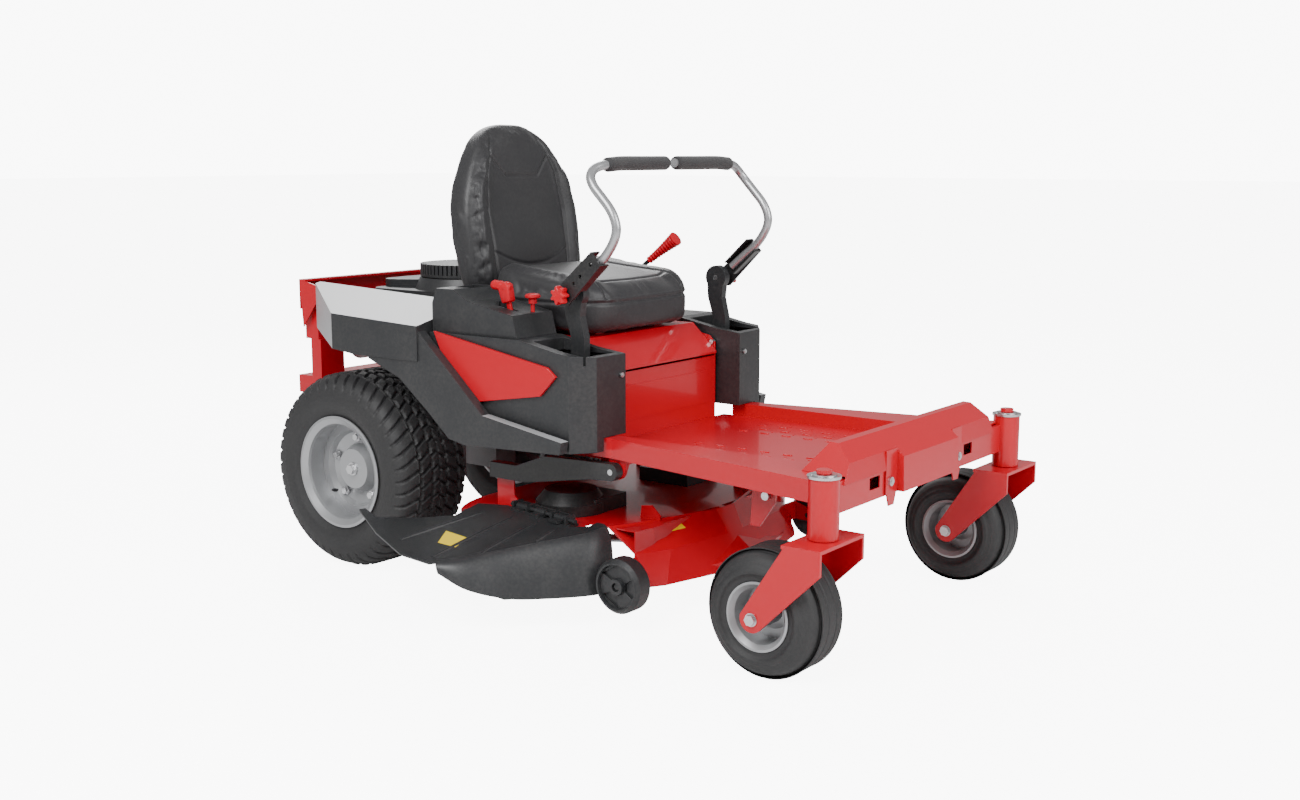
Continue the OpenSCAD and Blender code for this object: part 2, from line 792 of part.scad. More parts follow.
// ---- small controls ----

module throttle_lever() {
  color("#c8171c") place() translate([throttle_p[0], -336, throttle_p[1]]) {
    rotate([0, -14, 0]) {
      block([-6, -4, -8], [6, 4, 84]);
      block([-8, -8, 70], [10, 8, 108]);
    }
    rotate([90, 0, 0]) cylinder(d = 16, h = 11.4, center = true);
    rotate([90, 0, 0]) cylinder(d = 8, h = 30, center = true);
    translate([-64, 0, 98]) rotate([0, 100, 0]) cylinder(d = 26, h = 56);
  }
}

module pto_knob() {
  color("#c8171c") place() {
    zcyl(548, -300, 672, 10, 44);
    zcyl(548, -300, 712, 22, 14);
    zcyl(548, -300, 726, 38, 9);
  }
}

module brake_lever() {
  y = 282;
  color("#c8171c") place() difference() {
    union() {
      stick([brake_p[0], y, brake_p[1]], [brake_p[0] + 6, y, 726], 14);
      stick([brake_p[0] + 6, y, 724], [470, y, 784], 12);
      translate([460, y, 777]) rotate([0, 55, 0])
        cylinder(d1 = 22, d2 = 40, h = 112);
      ycyl(brake_p[0], y, brake_p[1], 26, 16);
    }
    ycyl(brake_p[0], y, brake_p[1], 12 + 2*pin_gap, 40);
  }
}

// ---- seat ----

module seat_base() {
  lip = [[hinge_x + 17, seam_z + 7], [hinge_x + 17, seam_z + 12],
    [646, 626], [225, 626], [225, 622], [644, 622], [hinge_x + 13, seam_z + 10],
    [hinge_x + 13, seam_z + 7]];
  color("red") place() difference() {
    union() {
      plate_xz(lip, -tower_half + 8, tower_half - 8);
      for (s = [-1, 1]) plate_xz([[hinge_x + 14, seam_z + 8],
        [hinge_x + 14, seam_z + 14], [646, 625], [560, 625], [600, 600],
        [hinge_x - 18, seam_z + 20]], s*(tower_half - 7) - 2,
        s*(tower_half - 7) + 2);
      for (s = [-1, 1]) block([230, s*120 - 16, 626], [610, s*120 + 16, 654.7]);
    }
    for (s = [-1, 1]) ycyl(hinge_x, s*(tower_half - 5), hinge_z,
      12 + 2*pin_gap, 20);
  }
}

module seat_cushion() {
  h = seat_w/2;
  color("#2a2a2c") place() translate([0, 0, 655]) hull() for (s = [-1, 1]) {
    translate([618, s*(h - 70), 0]) cylinder(r1 = 50, r2 = 60, h = 30, $fn = 32);
    translate([372, s*(h - 48), 0]) cylinder(r1 = 36, r2 = 44, h = 30, $fn = 32);
    translate([606, s*(h - 84), 56]) cylinder(r1 = 80, r2 = 56, h = 32, $fn = 32);
    translate([384, s*(h - 64), 60]) cylinder(r1 = 60, r2 = 34, h = cushion_t - 60,
      $fn = 32);
  }
}

module seat_back() {
  h = seat_w/2;
  lean = 7.5;
  color("#2a2a2c") place() translate([262, 0, 655]) rotate([0, -lean, 0]) hull()
    for (s = [-1, 1]) {
      for (p = [[h - 96, 62], [h - 64, 260], [h - 122, back_top - 655 - 74]])
        translate([-42, s*p[0], p[1]]) rotate([0, 90, 0])
          cylinder(r = 58, h = 70, $fn = 32);
      for (p = [[h - 84, 62], [h - 50, 250], [h - 122, back_top - 655 - 72]])
        translate([-22, s*p[0], p[1]]) rotate([0, 90, 0])
          cylinder(r = 48, h = 72, $fn = 32);
    }
}

// ---- deck ----

// outline of the deck seen from above; in is the distance drawn inward
function deck_outline(in) = let(c = [spindle_x, spindle_y], r = chamber_r - in)
  concat([[880 - in, 0]], arc(c, r, -4, 180, 20), [[spindle_x - r + 2, 0]],
    flip(arc(c, r, -4, 180, 20)));

// section of the sloping front wall, in is the distance drawn inward
function front_section(in) = [[-60, deck_top - in], [0, deck_top - in],
  [43 - in, 150], [108 - in, 100], [112 - in, lip_z - (in > 0 ? 1 : 0)],
  [-60, lip_z - (in > 0 ? 1 : 0)]];

// one half of the front wall, which points forward in the middle
module deck_front(in) {
  intersection() {
    translate([886, 0, 0]) rotate([0, 0, -15.6])
      plate_xz(front_section(in), -282 + in, 60);
    block([780, -320, 0], [1040, 0.5, 300]);
  }
}

module deck_shell() {
  t = sheet;
  color("#c8171c") place() {
    difference() {
      union() {
        plate_xy(deck_outline(0), lip_z + 26, deck_top);
        // lower flare and rolled lip
        translate([6, 0, 0]) plate_xy(deck_outline(-14), lip_z, lip_z + 30);
        for (s = [0, 1]) side(s) deck_front(0);
      }
      plate_xy(deck_outline(t), lip_z - 1, deck_top - t);
      translate([6, 0, 0]) plate_xy(deck_outline(-14 + t), lip_z - 1, lip_z + 10);
      for (s = [0, 1]) side(s) deck_front(t);
      // discharge opening on the right
      chute_place() block([-215, -320, -140], [300, -16.5, 2]);
      block([740, -620, lip_z - 1], [960, -322, deck_top + 1]);
      for (s = [-1, 1]) ycyl(gauge_x, s*gauge_y, gauge_z, gauge_d + 20, 70);
      for (s = [-1, 1]) zcyl(spindle_x, s*spindle_y, deck_top - 10, 60, 20);
    }
    // spindle housings
    for (s = [-1, 1]) difference() {
      union() {
        zcyl(spindle_x, s*spindle_y, deck_top - t, 120, t + 4);
        zcyl(spindle_x, s*spindle_y, deck_top - 46, 70, 50);
      }
      zcyl(spindle_x, s*spindle_y, deck_top - 50, 25 + 2*pin_gap, 70);
    }
    // rear hanger plates with the adjusting slot, front hanger plates
    for (s = [0, 1]) side(s) {
      difference() {
        plate_xz([[hang_x - 24, deck_top - 1], [hang_x + 60, deck_top - 1],
          [hang_x + 30, deck_top + 30], [hang_x + 26, hang_z + 18],
          [hang_x - 26, hang_z + 18]], -arm_y + 16, -arm_y + 20);
        block([hang_x - 6, -arm_y, hang_z - 9], [hang_x + 6, -arm_y + 30, hang_z + 9]);
        for (k = [-6, 6]) ycyl(hang_x + k, -arm_y + 18, hang_z, 18, 20);
      }
      block([hang_x - 26, -arm_y + 16, deck_top - 1],
        [hang_x - 22, -arm_y + 58, deck_top + 70]);
      plate_xz([[796, deck_top - 4], [850, deck_top - 40], [856, deck_top + 10],
        [830, deck_top + 34], [800, deck_top + 30]], -204, -200);
    }
    // gauge wheel brackets
    for (s = [0, 1]) side(s) difference() {
      union() {
        plate_xz([[gauge_x - 44, gauge_z - 14], [gauge_x + 16, gauge_z - 14],
          [gauge_x + 16, gauge_z + 14], [gauge_x - 44, gauge_z + 34]],
          -gauge_y + 32, -gauge_y + 38);
        block([gauge_x - 44, -gauge_y + 32, gauge_z - 14],
          [gauge_x - 38, -260, gauge_z + 34]);
      }
      ycyl(gauge_x, -gauge_y + 30, gauge_z, 14 + 2*pin_gap, 30);
    }
  }
}

module belt_cover() {
  difference() {
    union() {
      zcyl(spindle_x, -spindle_y, deck_top + 0.3, 176, 26);
      translate([spindle_x, -spindle_y, deck_top + 26])
        cylinder(d1 = 172, d2 = 128, h = 28);
      block([spindle_x - 70, -spindle_y - 10, deck_top + 0.3],
        [spindle_x + 86, -spindle_y + 110, deck_top + 36]);
    }
    zcyl(spindle_x, -spindle_y, deck_top - 1, 160, 26);
    zcyl(spindle_x, -spindle_y, deck_top + 20, 120, 28);
  }
}

module belt_covers() {
  color("#1b1c1e") place() for (s = [0, 1]) side(s) belt_cover();
}

// the chute hinge sits on the deck top, a little askew
module chute_place() {
  translate([spindle_x + 8, -spindle_y - 110, deck_top + 0.3]) rotate([0, 0, -12])
    children();
}

// hinge block of the chute, with four gussets, on the deck top
module chute_bracket() {
  color("#191a1c") place() chute_place() difference() {
    union() {
      block([-110, -14, 0], [110, 16, 5]);
      for (x = [-106, -52, 44, 98]) block([x - 4, -16, 0], [x + 4, 14, 26]);
      block([-110, 8, 0], [102, 14, 24]);
    }
    translate([-130, -4, 15]) rotate([0, 90, 0]) cylinder(d = 10 + 2*pin_gap, h = 260);
  }
}

// discharge chute: sloping top plate and a skirt, hung on a pin
module discharge_chute() {
  edge = [[812, -356], [800, -402], [735, -480], [672, -560], [612, -640]];
  plate = concat([[498, -343], [734, -393]], edge, [[566, -chute_out],
    [462, -672], [308, -602], [150, -510], [160, -498], [236, -530],
    [330, -498], [416, -445], [416, -362]]);
  color("#1d1e20") place() {
    chute_place() {
      translate([-124, -4, 15]) rotate([0, 90, 0]) cylinder(d = 10, h = 248);
      for (x = [-78, -4, 70]) {
        translate([x - 18, -4, 15]) rotate([0, 90, 0]) cylinder(d = 18, h = 36);
        block([x - 18, -30, 7], [x + 18, -8, 14]);
      }
    }
    intersection() {
      plate_xy(plate, 60, 240);
      translate([580, -360, deck_top + 11]) rotate([9.6, 0, 0])
        block([-500, -360, -4], [300, 40, 0]);
    }
    // skirt, one facet between each two points of the outer edge
    for (i = [0 : 3]) hull() for (k = [0, 1]) {
      q = edge[i + k];
      deep = i + k > 3 ? 110 : lip_z - 2;
      translate([q[0] - 2, q[1], deck_top + 4 + (q[1] + 360)*0.169])
        cube([4, 4, 3]);
      translate([q[0] + 30, q[1] - 30 + (i + k > 3 ? 26 : 0), deep]) cube([4, 4, 3]);
    }
  }
}

// blade with its spindle and pulley
module blade(s) {
  color("#8b8e92") place() side(s) {
    translate([spindle_x, -spindle_y, 0]) {
      translate([0, 0, deck_top - 78]) cylinder(d = 25, h = 98);
      translate([0, 0, deck_top + 8]) cylinder(d = 116, h = 14);
      translate([0, 0, deck_top - 64]) cylinder(d = 44, h = 10);
      rotate([0, 0, 30]) {
        block([-blade_l/2, -28, deck_top - 72], [blade_l/2, 28, deck_top - 66]);
        for (k = [-1, 1]) translate([k*(blade_l/2 - 45), 0, deck_top - 69])
          rotate([0, 0, k > 0 ? 0 : 180]) plate_yz([[8, -3], [28, -3], [34, 14],
            [30, 16], [22, 3], [8, 3]], -45, 45);
      }
      translate([0, 0, deck_top - 88]) cylinder(d = 30, h = 12, $fn = 6);
    }
  }
}

module gauge_wheel(s) {
  color("#1a1b1d") place() side(s) {
    translate([gauge_x, -gauge_y, gauge_z]) rotate([90, 0, 0]) difference() {
      union() {
        rotate_extrude($fn = 72) polygon([[10, -26], [gauge_d/2 - 8, -28],
          [gauge_d/2, -18], [gauge_d/2, 18], [gauge_d/2 - 8, 28],
          [gauge_d/2 - 12, 27], [gauge_d/2 - 14, 18], [20, 18], [18, 28], [10, 28]]);
      }
      for (i = [0 : 2]) rotate([0, 0, i*120]) translate([0, 0, 12])
        linear_extrude(8) polygon([[20, -10], [44, -26], [44, 26], [20, 10]]);
    }
    ycyl(gauge_x, -gauge_y + 8, gauge_z, 14, 62);
    ycyl(gauge_x, -gauge_y, gauge_z, 22, 30);
  }
}

module lift_arms() {
  color("#16171a") place() for (s = [0, 1]) side(s) difference() {
    union() {
      plate_xz([[hang_x - 26, hang_z - 18], [hang_x + 90, hang_z - 18],
        [lug_x - 60, lug_z - 24], [lug_x + 6, lug_z - 20],
        [lug_x + 6, lug_z + 20], [lug_x - 90, lug_z + 18],
        [lug_x - 200, lug_z + 14], [hang_x + 60, hang_z + 20],
        [hang_x - 26, hang_z + 20]], -arm_y - 12, -arm_y + 12);
      ycyl(hang_x, -arm_y + 14, hang_z, 12, 44);
      ycyl(lug_x, -arm_y, lug_z, 40, 24);
    }
    ycyl(lug_x, -arm_y, lug_z, 14 + 2*pin_gap, 60);
  }
}

frame_rails();
floor_pan();
foot_plate();
seat_tower();
rear_frame();
engine_guard();
side_cover(0);  // side_cover_right
side_cover(1);  // side_cover_left
fender(0);  // fender_right
fender(1);  // fender_left
side_inserts();
console_right();
engine_block();
blower_housing();
muffler();
fuel_cap();
transaxles();
arm_hub(0);  // arm_hub_right
arm_hub(1);  // arm_hub_left
fasteners();
rear_tyre(0);  // rear_tyre_right
rear_rim(0);  // rear_rim_right
wheel_bolts(0);  // wheel_bolts_right
rear_tyre(1);  // rear_tyre_left
rear_rim(1);  // rear_rim_left
wheel_bolts(1);  // wheel_bolts_left
caster_fork(0);  // caster_fork_right
caster_tyre(0);  // caster_tyre_right
caster_rim(0);  // caster_rim_right
caster_axle(0);  // caster_axle_right
caster_fork(1);  // caster_fork_left
caster_tyre(1);  // caster_tyre_left
caster_rim(1);  // caster_rim_left
caster_axle(1);  // caster_axle_left
control_arm(0);  // control_arm_right
bar_bracket(0);  // bar_bracket_right
lap_bar(0);  // lap_bar_right
bar_grip(0);  // bar_grip_right
bar_knob(0);  // bar_knob_right
control_arm(1);  // control_arm_left
bar_bracket(1);  // bar_bracket_left
lap_bar(1);  // lap_bar_left
bar_grip(1);  // bar_grip_left
bar_knob(1);  // bar_knob_left
throttle_lever();
pto_knob();
brake_lever();
seat_base();
seat_cushion();
seat_back();
deck_shell();
belt_covers();
chute_bracket();
discharge_chute();
blade(0);  // blade_right
blade(1);  // blade_left
gauge_wheel(0);  // gauge_wheel_right
gauge_wheel(1);  // gauge_wheel_left
lift_arms();
flywheel_screen();
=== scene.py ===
# %% [markdown]
# # A zero turn mower, finished in Blender
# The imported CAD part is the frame. This script gives every surface a material and swaps the
# pieces that need a softer or richer shape (tyres, seat, plastic covers, chute) for new ones.
# All lengths are metres in the row frame: +X forward, +Y to the driver's left, +Z up.

# %% Load the frame
import json
import math

import bmesh
import bpy
import numpy as np
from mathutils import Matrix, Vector

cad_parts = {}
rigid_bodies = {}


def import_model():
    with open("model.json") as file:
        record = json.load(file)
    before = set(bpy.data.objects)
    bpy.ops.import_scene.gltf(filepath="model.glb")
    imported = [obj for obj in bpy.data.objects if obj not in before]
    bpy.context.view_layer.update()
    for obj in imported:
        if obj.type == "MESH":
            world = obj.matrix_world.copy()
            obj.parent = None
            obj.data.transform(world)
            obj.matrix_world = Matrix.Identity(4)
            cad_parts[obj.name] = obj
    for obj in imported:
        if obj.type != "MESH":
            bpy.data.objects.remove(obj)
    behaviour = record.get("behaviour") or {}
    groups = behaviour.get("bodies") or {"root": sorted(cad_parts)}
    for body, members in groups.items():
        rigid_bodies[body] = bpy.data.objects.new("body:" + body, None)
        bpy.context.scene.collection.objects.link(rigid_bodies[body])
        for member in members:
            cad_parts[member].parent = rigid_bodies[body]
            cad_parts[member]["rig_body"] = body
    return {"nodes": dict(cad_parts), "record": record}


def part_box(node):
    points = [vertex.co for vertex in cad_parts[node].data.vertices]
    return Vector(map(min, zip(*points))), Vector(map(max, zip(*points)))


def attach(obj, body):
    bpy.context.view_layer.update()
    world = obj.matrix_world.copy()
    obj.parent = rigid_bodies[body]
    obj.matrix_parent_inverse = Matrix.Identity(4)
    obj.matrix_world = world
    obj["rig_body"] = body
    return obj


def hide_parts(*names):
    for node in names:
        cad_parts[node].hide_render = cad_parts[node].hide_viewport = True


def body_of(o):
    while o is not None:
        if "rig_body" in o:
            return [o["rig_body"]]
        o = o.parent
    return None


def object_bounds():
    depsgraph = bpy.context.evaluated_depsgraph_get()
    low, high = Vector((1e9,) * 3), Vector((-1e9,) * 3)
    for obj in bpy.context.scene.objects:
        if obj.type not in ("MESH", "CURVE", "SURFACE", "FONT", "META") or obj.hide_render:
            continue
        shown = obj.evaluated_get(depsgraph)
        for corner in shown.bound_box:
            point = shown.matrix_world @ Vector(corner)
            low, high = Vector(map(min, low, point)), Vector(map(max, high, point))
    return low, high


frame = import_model()
start_lo, start_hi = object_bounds()
nodes = frame["nodes"]

# %% [markdown]
# ## The vehicle frame
# Shapes are easiest to draw from the rear axle line, in millimetres. The place of that line in
# the row frame is read from the two rear rims, so the drawing follows the CAD.

# %% Where the rear axle line is
rim_lo, rim_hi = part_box("rear_rim_right")
left_lo, left_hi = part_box("rear_rim_left")
AXLE_X = (rim_lo.x + rim_hi.x) / 2
MIDDLE_Y = (rim_lo.y + left_hi.y) / 2
AXLE_Z = (rim_lo.z + rim_hi.z) / 2
SHIFT = np.array([AXLE_X, MIDDLE_Y, 0.0])


def mm(points):
    """Vehicle millimetres to row metres: p / 1000 + SHIFT."""
    return np.asarray(points, float) / 1000.0 + SHIFT


print("rear axle line at x", round(AXLE_X, 4), "y", round(MIDDLE_Y, 4), "z", round(AXLE_Z, 4))

# %% [markdown]
# ## Shape toolkit
# Each function returns (vertices, faces) as plain arrays, so shapes can be moved, mirrored and
# joined before one mesh is made from them.


# %% Outlines
def round_corners(points, radius, steps=5):
    """Outline with each corner replaced by an arc of about the given radius.

    radius may be one number or one per corner. The arc is the quadratic curve through the two
    tangent points, which looks the same as a circle at these sizes.
    """
    p = np.asarray(points, float)
    n = len(p)
    r = np.broadcast_to(np.asarray(radius, float), (n,))
    out = []
    for i in range(n):
        a, b, c = p[i - 1], p[i], p[(i + 1) % n]
        la, lc = np.linalg.norm(a - b), np.linalg.norm(c - b)
        u, v = (a - b) / la, (c - b) / lc
        half = math.acos(float(np.clip(u @ v, -1, 1))) / 2
        d = min(r[i] / max(math.tan(half), 1e-3), la * 0.45, lc * 0.45)
        if d < 1e-6:
            out.append(b)
            continue
        t = np.linspace(0, 1, steps + 1)[:, None]
        out.extend((1 - t) ** 2 * (b + u * d) + 2 * t * (1 - t) * b + t**2 * (b + v * d))
    return np.array(out)


def outline_area(p):
    """Signed area of a flat outline, positive when it runs counter-clockwise."""
    x, y = p[:, 0], p[:, 1]
    return 0.5 * float(np.sum(x * np.roll(y, -1) - np.roll(x, -1) * y))


def inset(p, d):
    """Outline moved inward by d along the mitre of each corner."""
    e = np.roll(p, -1, 0) - p
    e /= np.linalg.norm(e, axis=1)[:, None] + 1e-12
    nrm = np.stack([-e[:, 1], e[:, 0]], 1)
    if outline_area(p) < 0:
        nrm = -nrm
    prev = np.roll(nrm, 1, 0)
    m = nrm + prev
    m /= np.maximum((m * m).sum(1), 0.6)[:, None] / 2.0
    return p + m * d


# %% Solids from outlines
def ring_faces(rings, n):
    """Quads between each two neighbouring rings of n vertices."""
    i = np.arange(n)
    j = (i + 1) % n
    out = []
    for k in range(rings - 1):
        a, b = k * n, (k + 1) * n
        out.extend(np.stack([a + i, a + j, b + j, b + i], 1).tolist())
    return out


def slab(points, low, high, edge=1.5, plane="xz", steps=3, taper=0.0):
    """Plate with rounded edges: the outline is swept from low to high.

    At each end it is inset along a quarter circle of radius edge. plane names the two axes
    of the outline; the third axis is the thickness. taper insets the high end further.
    """
    p = np.asarray(points, float)
    if outline_area(p) < 0:
        p = p[::-1]
    ang = np.linspace(0, math.pi / 2, steps + 1)
    levels = [(edge * (1 - math.sin(a)), low + edge * (1 - math.cos(a))) for a in ang]
    levels += [(edge * (1 - math.sin(a)) + taper, high - edge * (1 - math.cos(a)))
               for a in ang[::-1]]
    ax = {"xy": (0, 1, 2), "xz": (0, 2, 1), "yz": (1, 2, 0)}[plane]
    rings = []
    for d, h in levels:
        q = inset(p, d)
        v = np.zeros((len(p), 3))
        v[:, ax[0]], v[:, ax[1]], v[:, ax[2]] = q[:, 0], q[:, 1], h
        rings.append(v)
    n = len(p)
    faces = ring_faces(len(rings), n)
    faces.append(list(range(n))[::-1])
    faces.append([(len(rings) - 1) * n + i for i in range(n)])
    if plane == "xz":
        faces = [f[::-1] for f in faces]
    return np.concatenate(rings), faces


def revolve(profile, turns=64, closed=True):
    """Surface turned about the Y axis from (radius, y) points: (r cos t, y, r sin t)."""
    p = np.asarray(profile, float)
    t = np.linspace(0, 2 * math.pi, turns, endpoint=False)
    r, h = p[:, 0][None], p[:, 1][None]
    v = np.stack([r * np.cos(t)[:, None], np.broadcast_to(h, (turns, len(p))),
                  r * np.sin(t)[:, None]], 2)
    m = len(p)
    i, j = np.meshgrid(np.arange(turns), np.arange(m if closed else m - 1), indexing="ij")
    i2, j2 = (i + 1) % turns, (j + 1) % m
    q = np.stack([i * m + j, i * m + j2, i2 * m + j2, i2 * m + j], 2).reshape(-1, 4)
    return v.reshape(-1, 3), q.tolist()


def tube(path, radius, sides=20, caps=True):
    """Round bar along a path; radius may change along it. Frames are carried without twist."""
    p = np.asarray(path, float)
    r = np.broadcast_to(np.asarray(radius, float), (len(p),))
    tan = np.gradient(p, axis=0)
    tan /= np.linalg.norm(tan, axis=1)[:, None]
    up = np.array([0, 0, 1.0]) if abs(tan[0][2]) < 0.9 else np.array([1.0, 0, 0])
    t = np.linspace(0, 2 * math.pi, sides, endpoint=False)
    rows = []
    for k in range(len(p)):
        up = up - tan[k] * (up @ tan[k])
        up /= np.linalg.norm(up)
        side = np.cross(tan[k], up)
        rows.append(p[k] + r[k] * (np.cos(t)[:, None] * side + np.sin(t)[:, None] * up))
    faces = ring_faces(len(p), sides)
    if caps:
        faces.append(list(range(sides))[::-1])
        faces.append([(len(p) - 1) * sides + i for i in range(sides)])
    return np.concatenate(rows), faces


def smooth_path(points, count=60):
    """Rounded path through the points by Catmull-Rom, sampled evenly."""
    p = np.asarray(points, float)
    q = np.concatenate([[2 * p[0] - p[1]], p, [2 * p[-1] - p[-2]]])
    out = []
    for i in range(1, len(q) - 2):
        t = np.linspace(0, 1, 12, endpoint=False)[:, None]
        a, b, c, d = q[i - 1], q[i], q[i + 1], q[i + 2]
        out.append(0.5 * (2 * b + (c - a) * t + (2 * a - 5 * b + 4 * c - d) * t**2
                          + (3 * b - a - 3 * c + d) * t**3))
    out = np.concatenate(out + [p[-1:]])
    s = np.concatenate([[0], np.cumsum(np.linalg.norm(np.diff(out, axis=0), axis=1))])
    g = np.linspace(0, s[-1], count)
    return np.stack([np.interp(g, s, out[:, k]) for k in range(3)], 1)


# %% Moving and joining
def moved(shape, offset=(0, 0, 0), turn=None):
    """Shape turned by a 3 x 3 matrix, then shifted."""
    v, f = shape
    if turn is not None:
        v = v @ np.asarray(turn).T
    return v + np.asarray(offset, float), f


def mirrored(shape):
    """Shape mirrored from the right hand side to the left; faces are turned round."""
    v, f = shape
    return v * np.array([1, -1, 1]), [list(q)[::-1] for q in f]


def turn_about(axis, degrees):
    """3 x 3 matrix of a turn about x, y or z."""
    a = math.radians(degrees)
    c, s = math.cos(a), math.sin(a)
    return np.array({"x": [[1, 0, 0], [0, c, -s], [0, s, c]],
                     "y": [[c, 0, s], [0, 1, 0], [-s, 0, c]],
                     "z": [[c, -s, 0], [s, c, 0], [0, 0, 1]]}[axis])


def put(name, shapes, materials, body, replaces=(), smooth=True, sharp=32):
    """One mesh object from (shape, material number) pairs in vehicle millimetres."""
    verts, faces, which, at = [], [], [], 0
    for (v, f), number in shapes:
        verts.append(mm(v))
        faces.extend([[i + at for i in q] for q in f])
        which.extend([number] * len(f))
        at += len(v)
    mesh = bpy.data.meshes.new(name)
    mesh.from_pydata(np.concatenate(verts).tolist(), [], faces)
    for m in materials:
        mesh.materials.append(m)
    mesh.polygons.foreach_set("material_index", which)
    mesh.update()
    bm = bmesh.new()
    bm.from_mesh(mesh)
    bmesh.ops.recalc_face_normals(bm, faces=bm.faces)
    bm.to_mesh(mesh)
    bm.free()
    if smooth:
        mesh.shade_smooth()
        mesh.set_sharp_from_angle(angle=math.radians(sharp))
    obj = bpy.data.objects.new(name, mesh)
    bpy.context.scene.collection.objects.link(obj)
    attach(obj, body)
    for n in replaces:
        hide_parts(n)
    print(name, len(mesh.vertices), "vertices on", body)
    return obj


# %% [markdown]
# ## Shader groups
# Three effects are made once each as a group: a fine surface grain and a soft broken-up dust
# mask, which every material uses, and a brushed streak from one stretched noise.


# %% Groups
def new_group(name, inputs, outputs):
    """Empty shader group with float or vector sockets."""
    g = bpy.data.node_groups.new(name, "ShaderNodeTree")
    for label, kind, value in inputs:
        s = g.interface.new_socket(name=label, in_out="INPUT", socket_type=kind)
        if value is not None:
            s.default_value = value
    for label, kind in outputs:
        g.interface.new_socket(name=label, in_out="OUTPUT", socket_type=kind)
    return g, g.nodes.new("NodeGroupInput"), g.nodes.new("NodeGroupOutput")


def node(tree, kind, **sockets):
    """Shader node with its inputs set by name; a socket from another node is linked."""
    n = tree.nodes.new(kind)
    for key, value in sockets.items():
        if key.startswith("_"):
            setattr(n, key[1:], value)
    for key, value in sockets.items():
        if key.startswith("_"):
            continue
        s = n.inputs[int(key[1:])] if key[0] == "i" and key[1:].isdigit() \
            else n.inputs[key.replace("_", " ")]
        if isinstance(value, bpy.types.NodeSocket):
            tree.links.new(value, s)
        else:
            s.default_value = value
    return n


def make_grain_group():
    g, i, o = new_group("fine_grain", [
        ("Vector", "NodeSocketVector", None), ("Scale", "NodeSocketFloat", 900.0),
        ("Height", "NodeSocketFloat", 0.0002), ("Strength", "NodeSocketFloat", 0.4)],
        [("Normal", "NodeSocketVector"), ("Value", "NodeSocketFloat")])
    big = node(g, "ShaderNodeTexNoise", Vector=i.outputs["Vector"], Scale=i.outputs["Scale"],
               Detail=3.0, Roughness=0.55)
    b = node(g, "ShaderNodeBump", Strength=i.outputs["Strength"],
             Distance=i.outputs["Height"], Height=big.outputs["Fac"])
    g.links.new(b.outputs["Normal"], o.inputs["Normal"])
    g.links.new(big.outputs["Fac"], o.inputs["Value"])
    return g


def make_dust_group():
    g, i, o = new_group("dust", [
        ("Vector", "NodeSocketVector", None), ("Amount", "NodeSocketFloat", 0.3)],
        [("Mask", "NodeSocketFloat")])
    a = node(g, "ShaderNodeTexNoise", Vector=i.outputs["Vector"], Scale=9.0, Detail=6.0,
             Roughness=0.65)
    b = node(g, "ShaderNodeTexNoise", Vector=i.outputs["Vector"], Scale=140.0, Detail=2.0)
    m = node(g, "ShaderNodeMath", _operation="MULTIPLY", i0=a.outputs["Fac"],
             i1=b.outputs["Fac"])
    r = node(g, "ShaderNodeMapRange", Value=m.outputs[0], i1=0.16, i2=0.42, i3=0.0, i4=1.0)
    k = node(g, "ShaderNodeMath", _operation="MULTIPLY", i0=r.outputs[0],
             i1=i.outputs["Amount"])
    g.links.new(k.outputs[0], o.inputs["Mask"])
    return g


def make_streak_group():
    g, i, o = new_group("brushed", [
        ("Vector", "NodeSocketVector", None), ("Scale", "NodeSocketFloat", 60.0)],
        [("Value", "NodeSocketFloat")])
    m = node(g, "ShaderNodeMapping", Vector=i.outputs["Vector"])
    m.inputs["Scale"].default_value = (0.12, 1.0, 1.0)
    n = node(g, "ShaderNodeTexNoise", Vector=m.outputs["Vector"], Scale=i.outputs["Scale"],
             Detail=5.0, Roughness=0.7)
    g.links.new(n.outputs["Fac"], o.inputs["Value"])
    return g


GRAIN, DUST, STREAK = make_grain_group(), make_dust_group(), make_streak_group()
print("groups:", [g.name for g in (GRAIN, DUST, STREAK)])


# %% [markdown]
# ## Materials
# A paint or plastic is a Principled shader whose colour is lifted a little by dust, whose
# roughness wanders with the grain, and whose normal carries the grain.


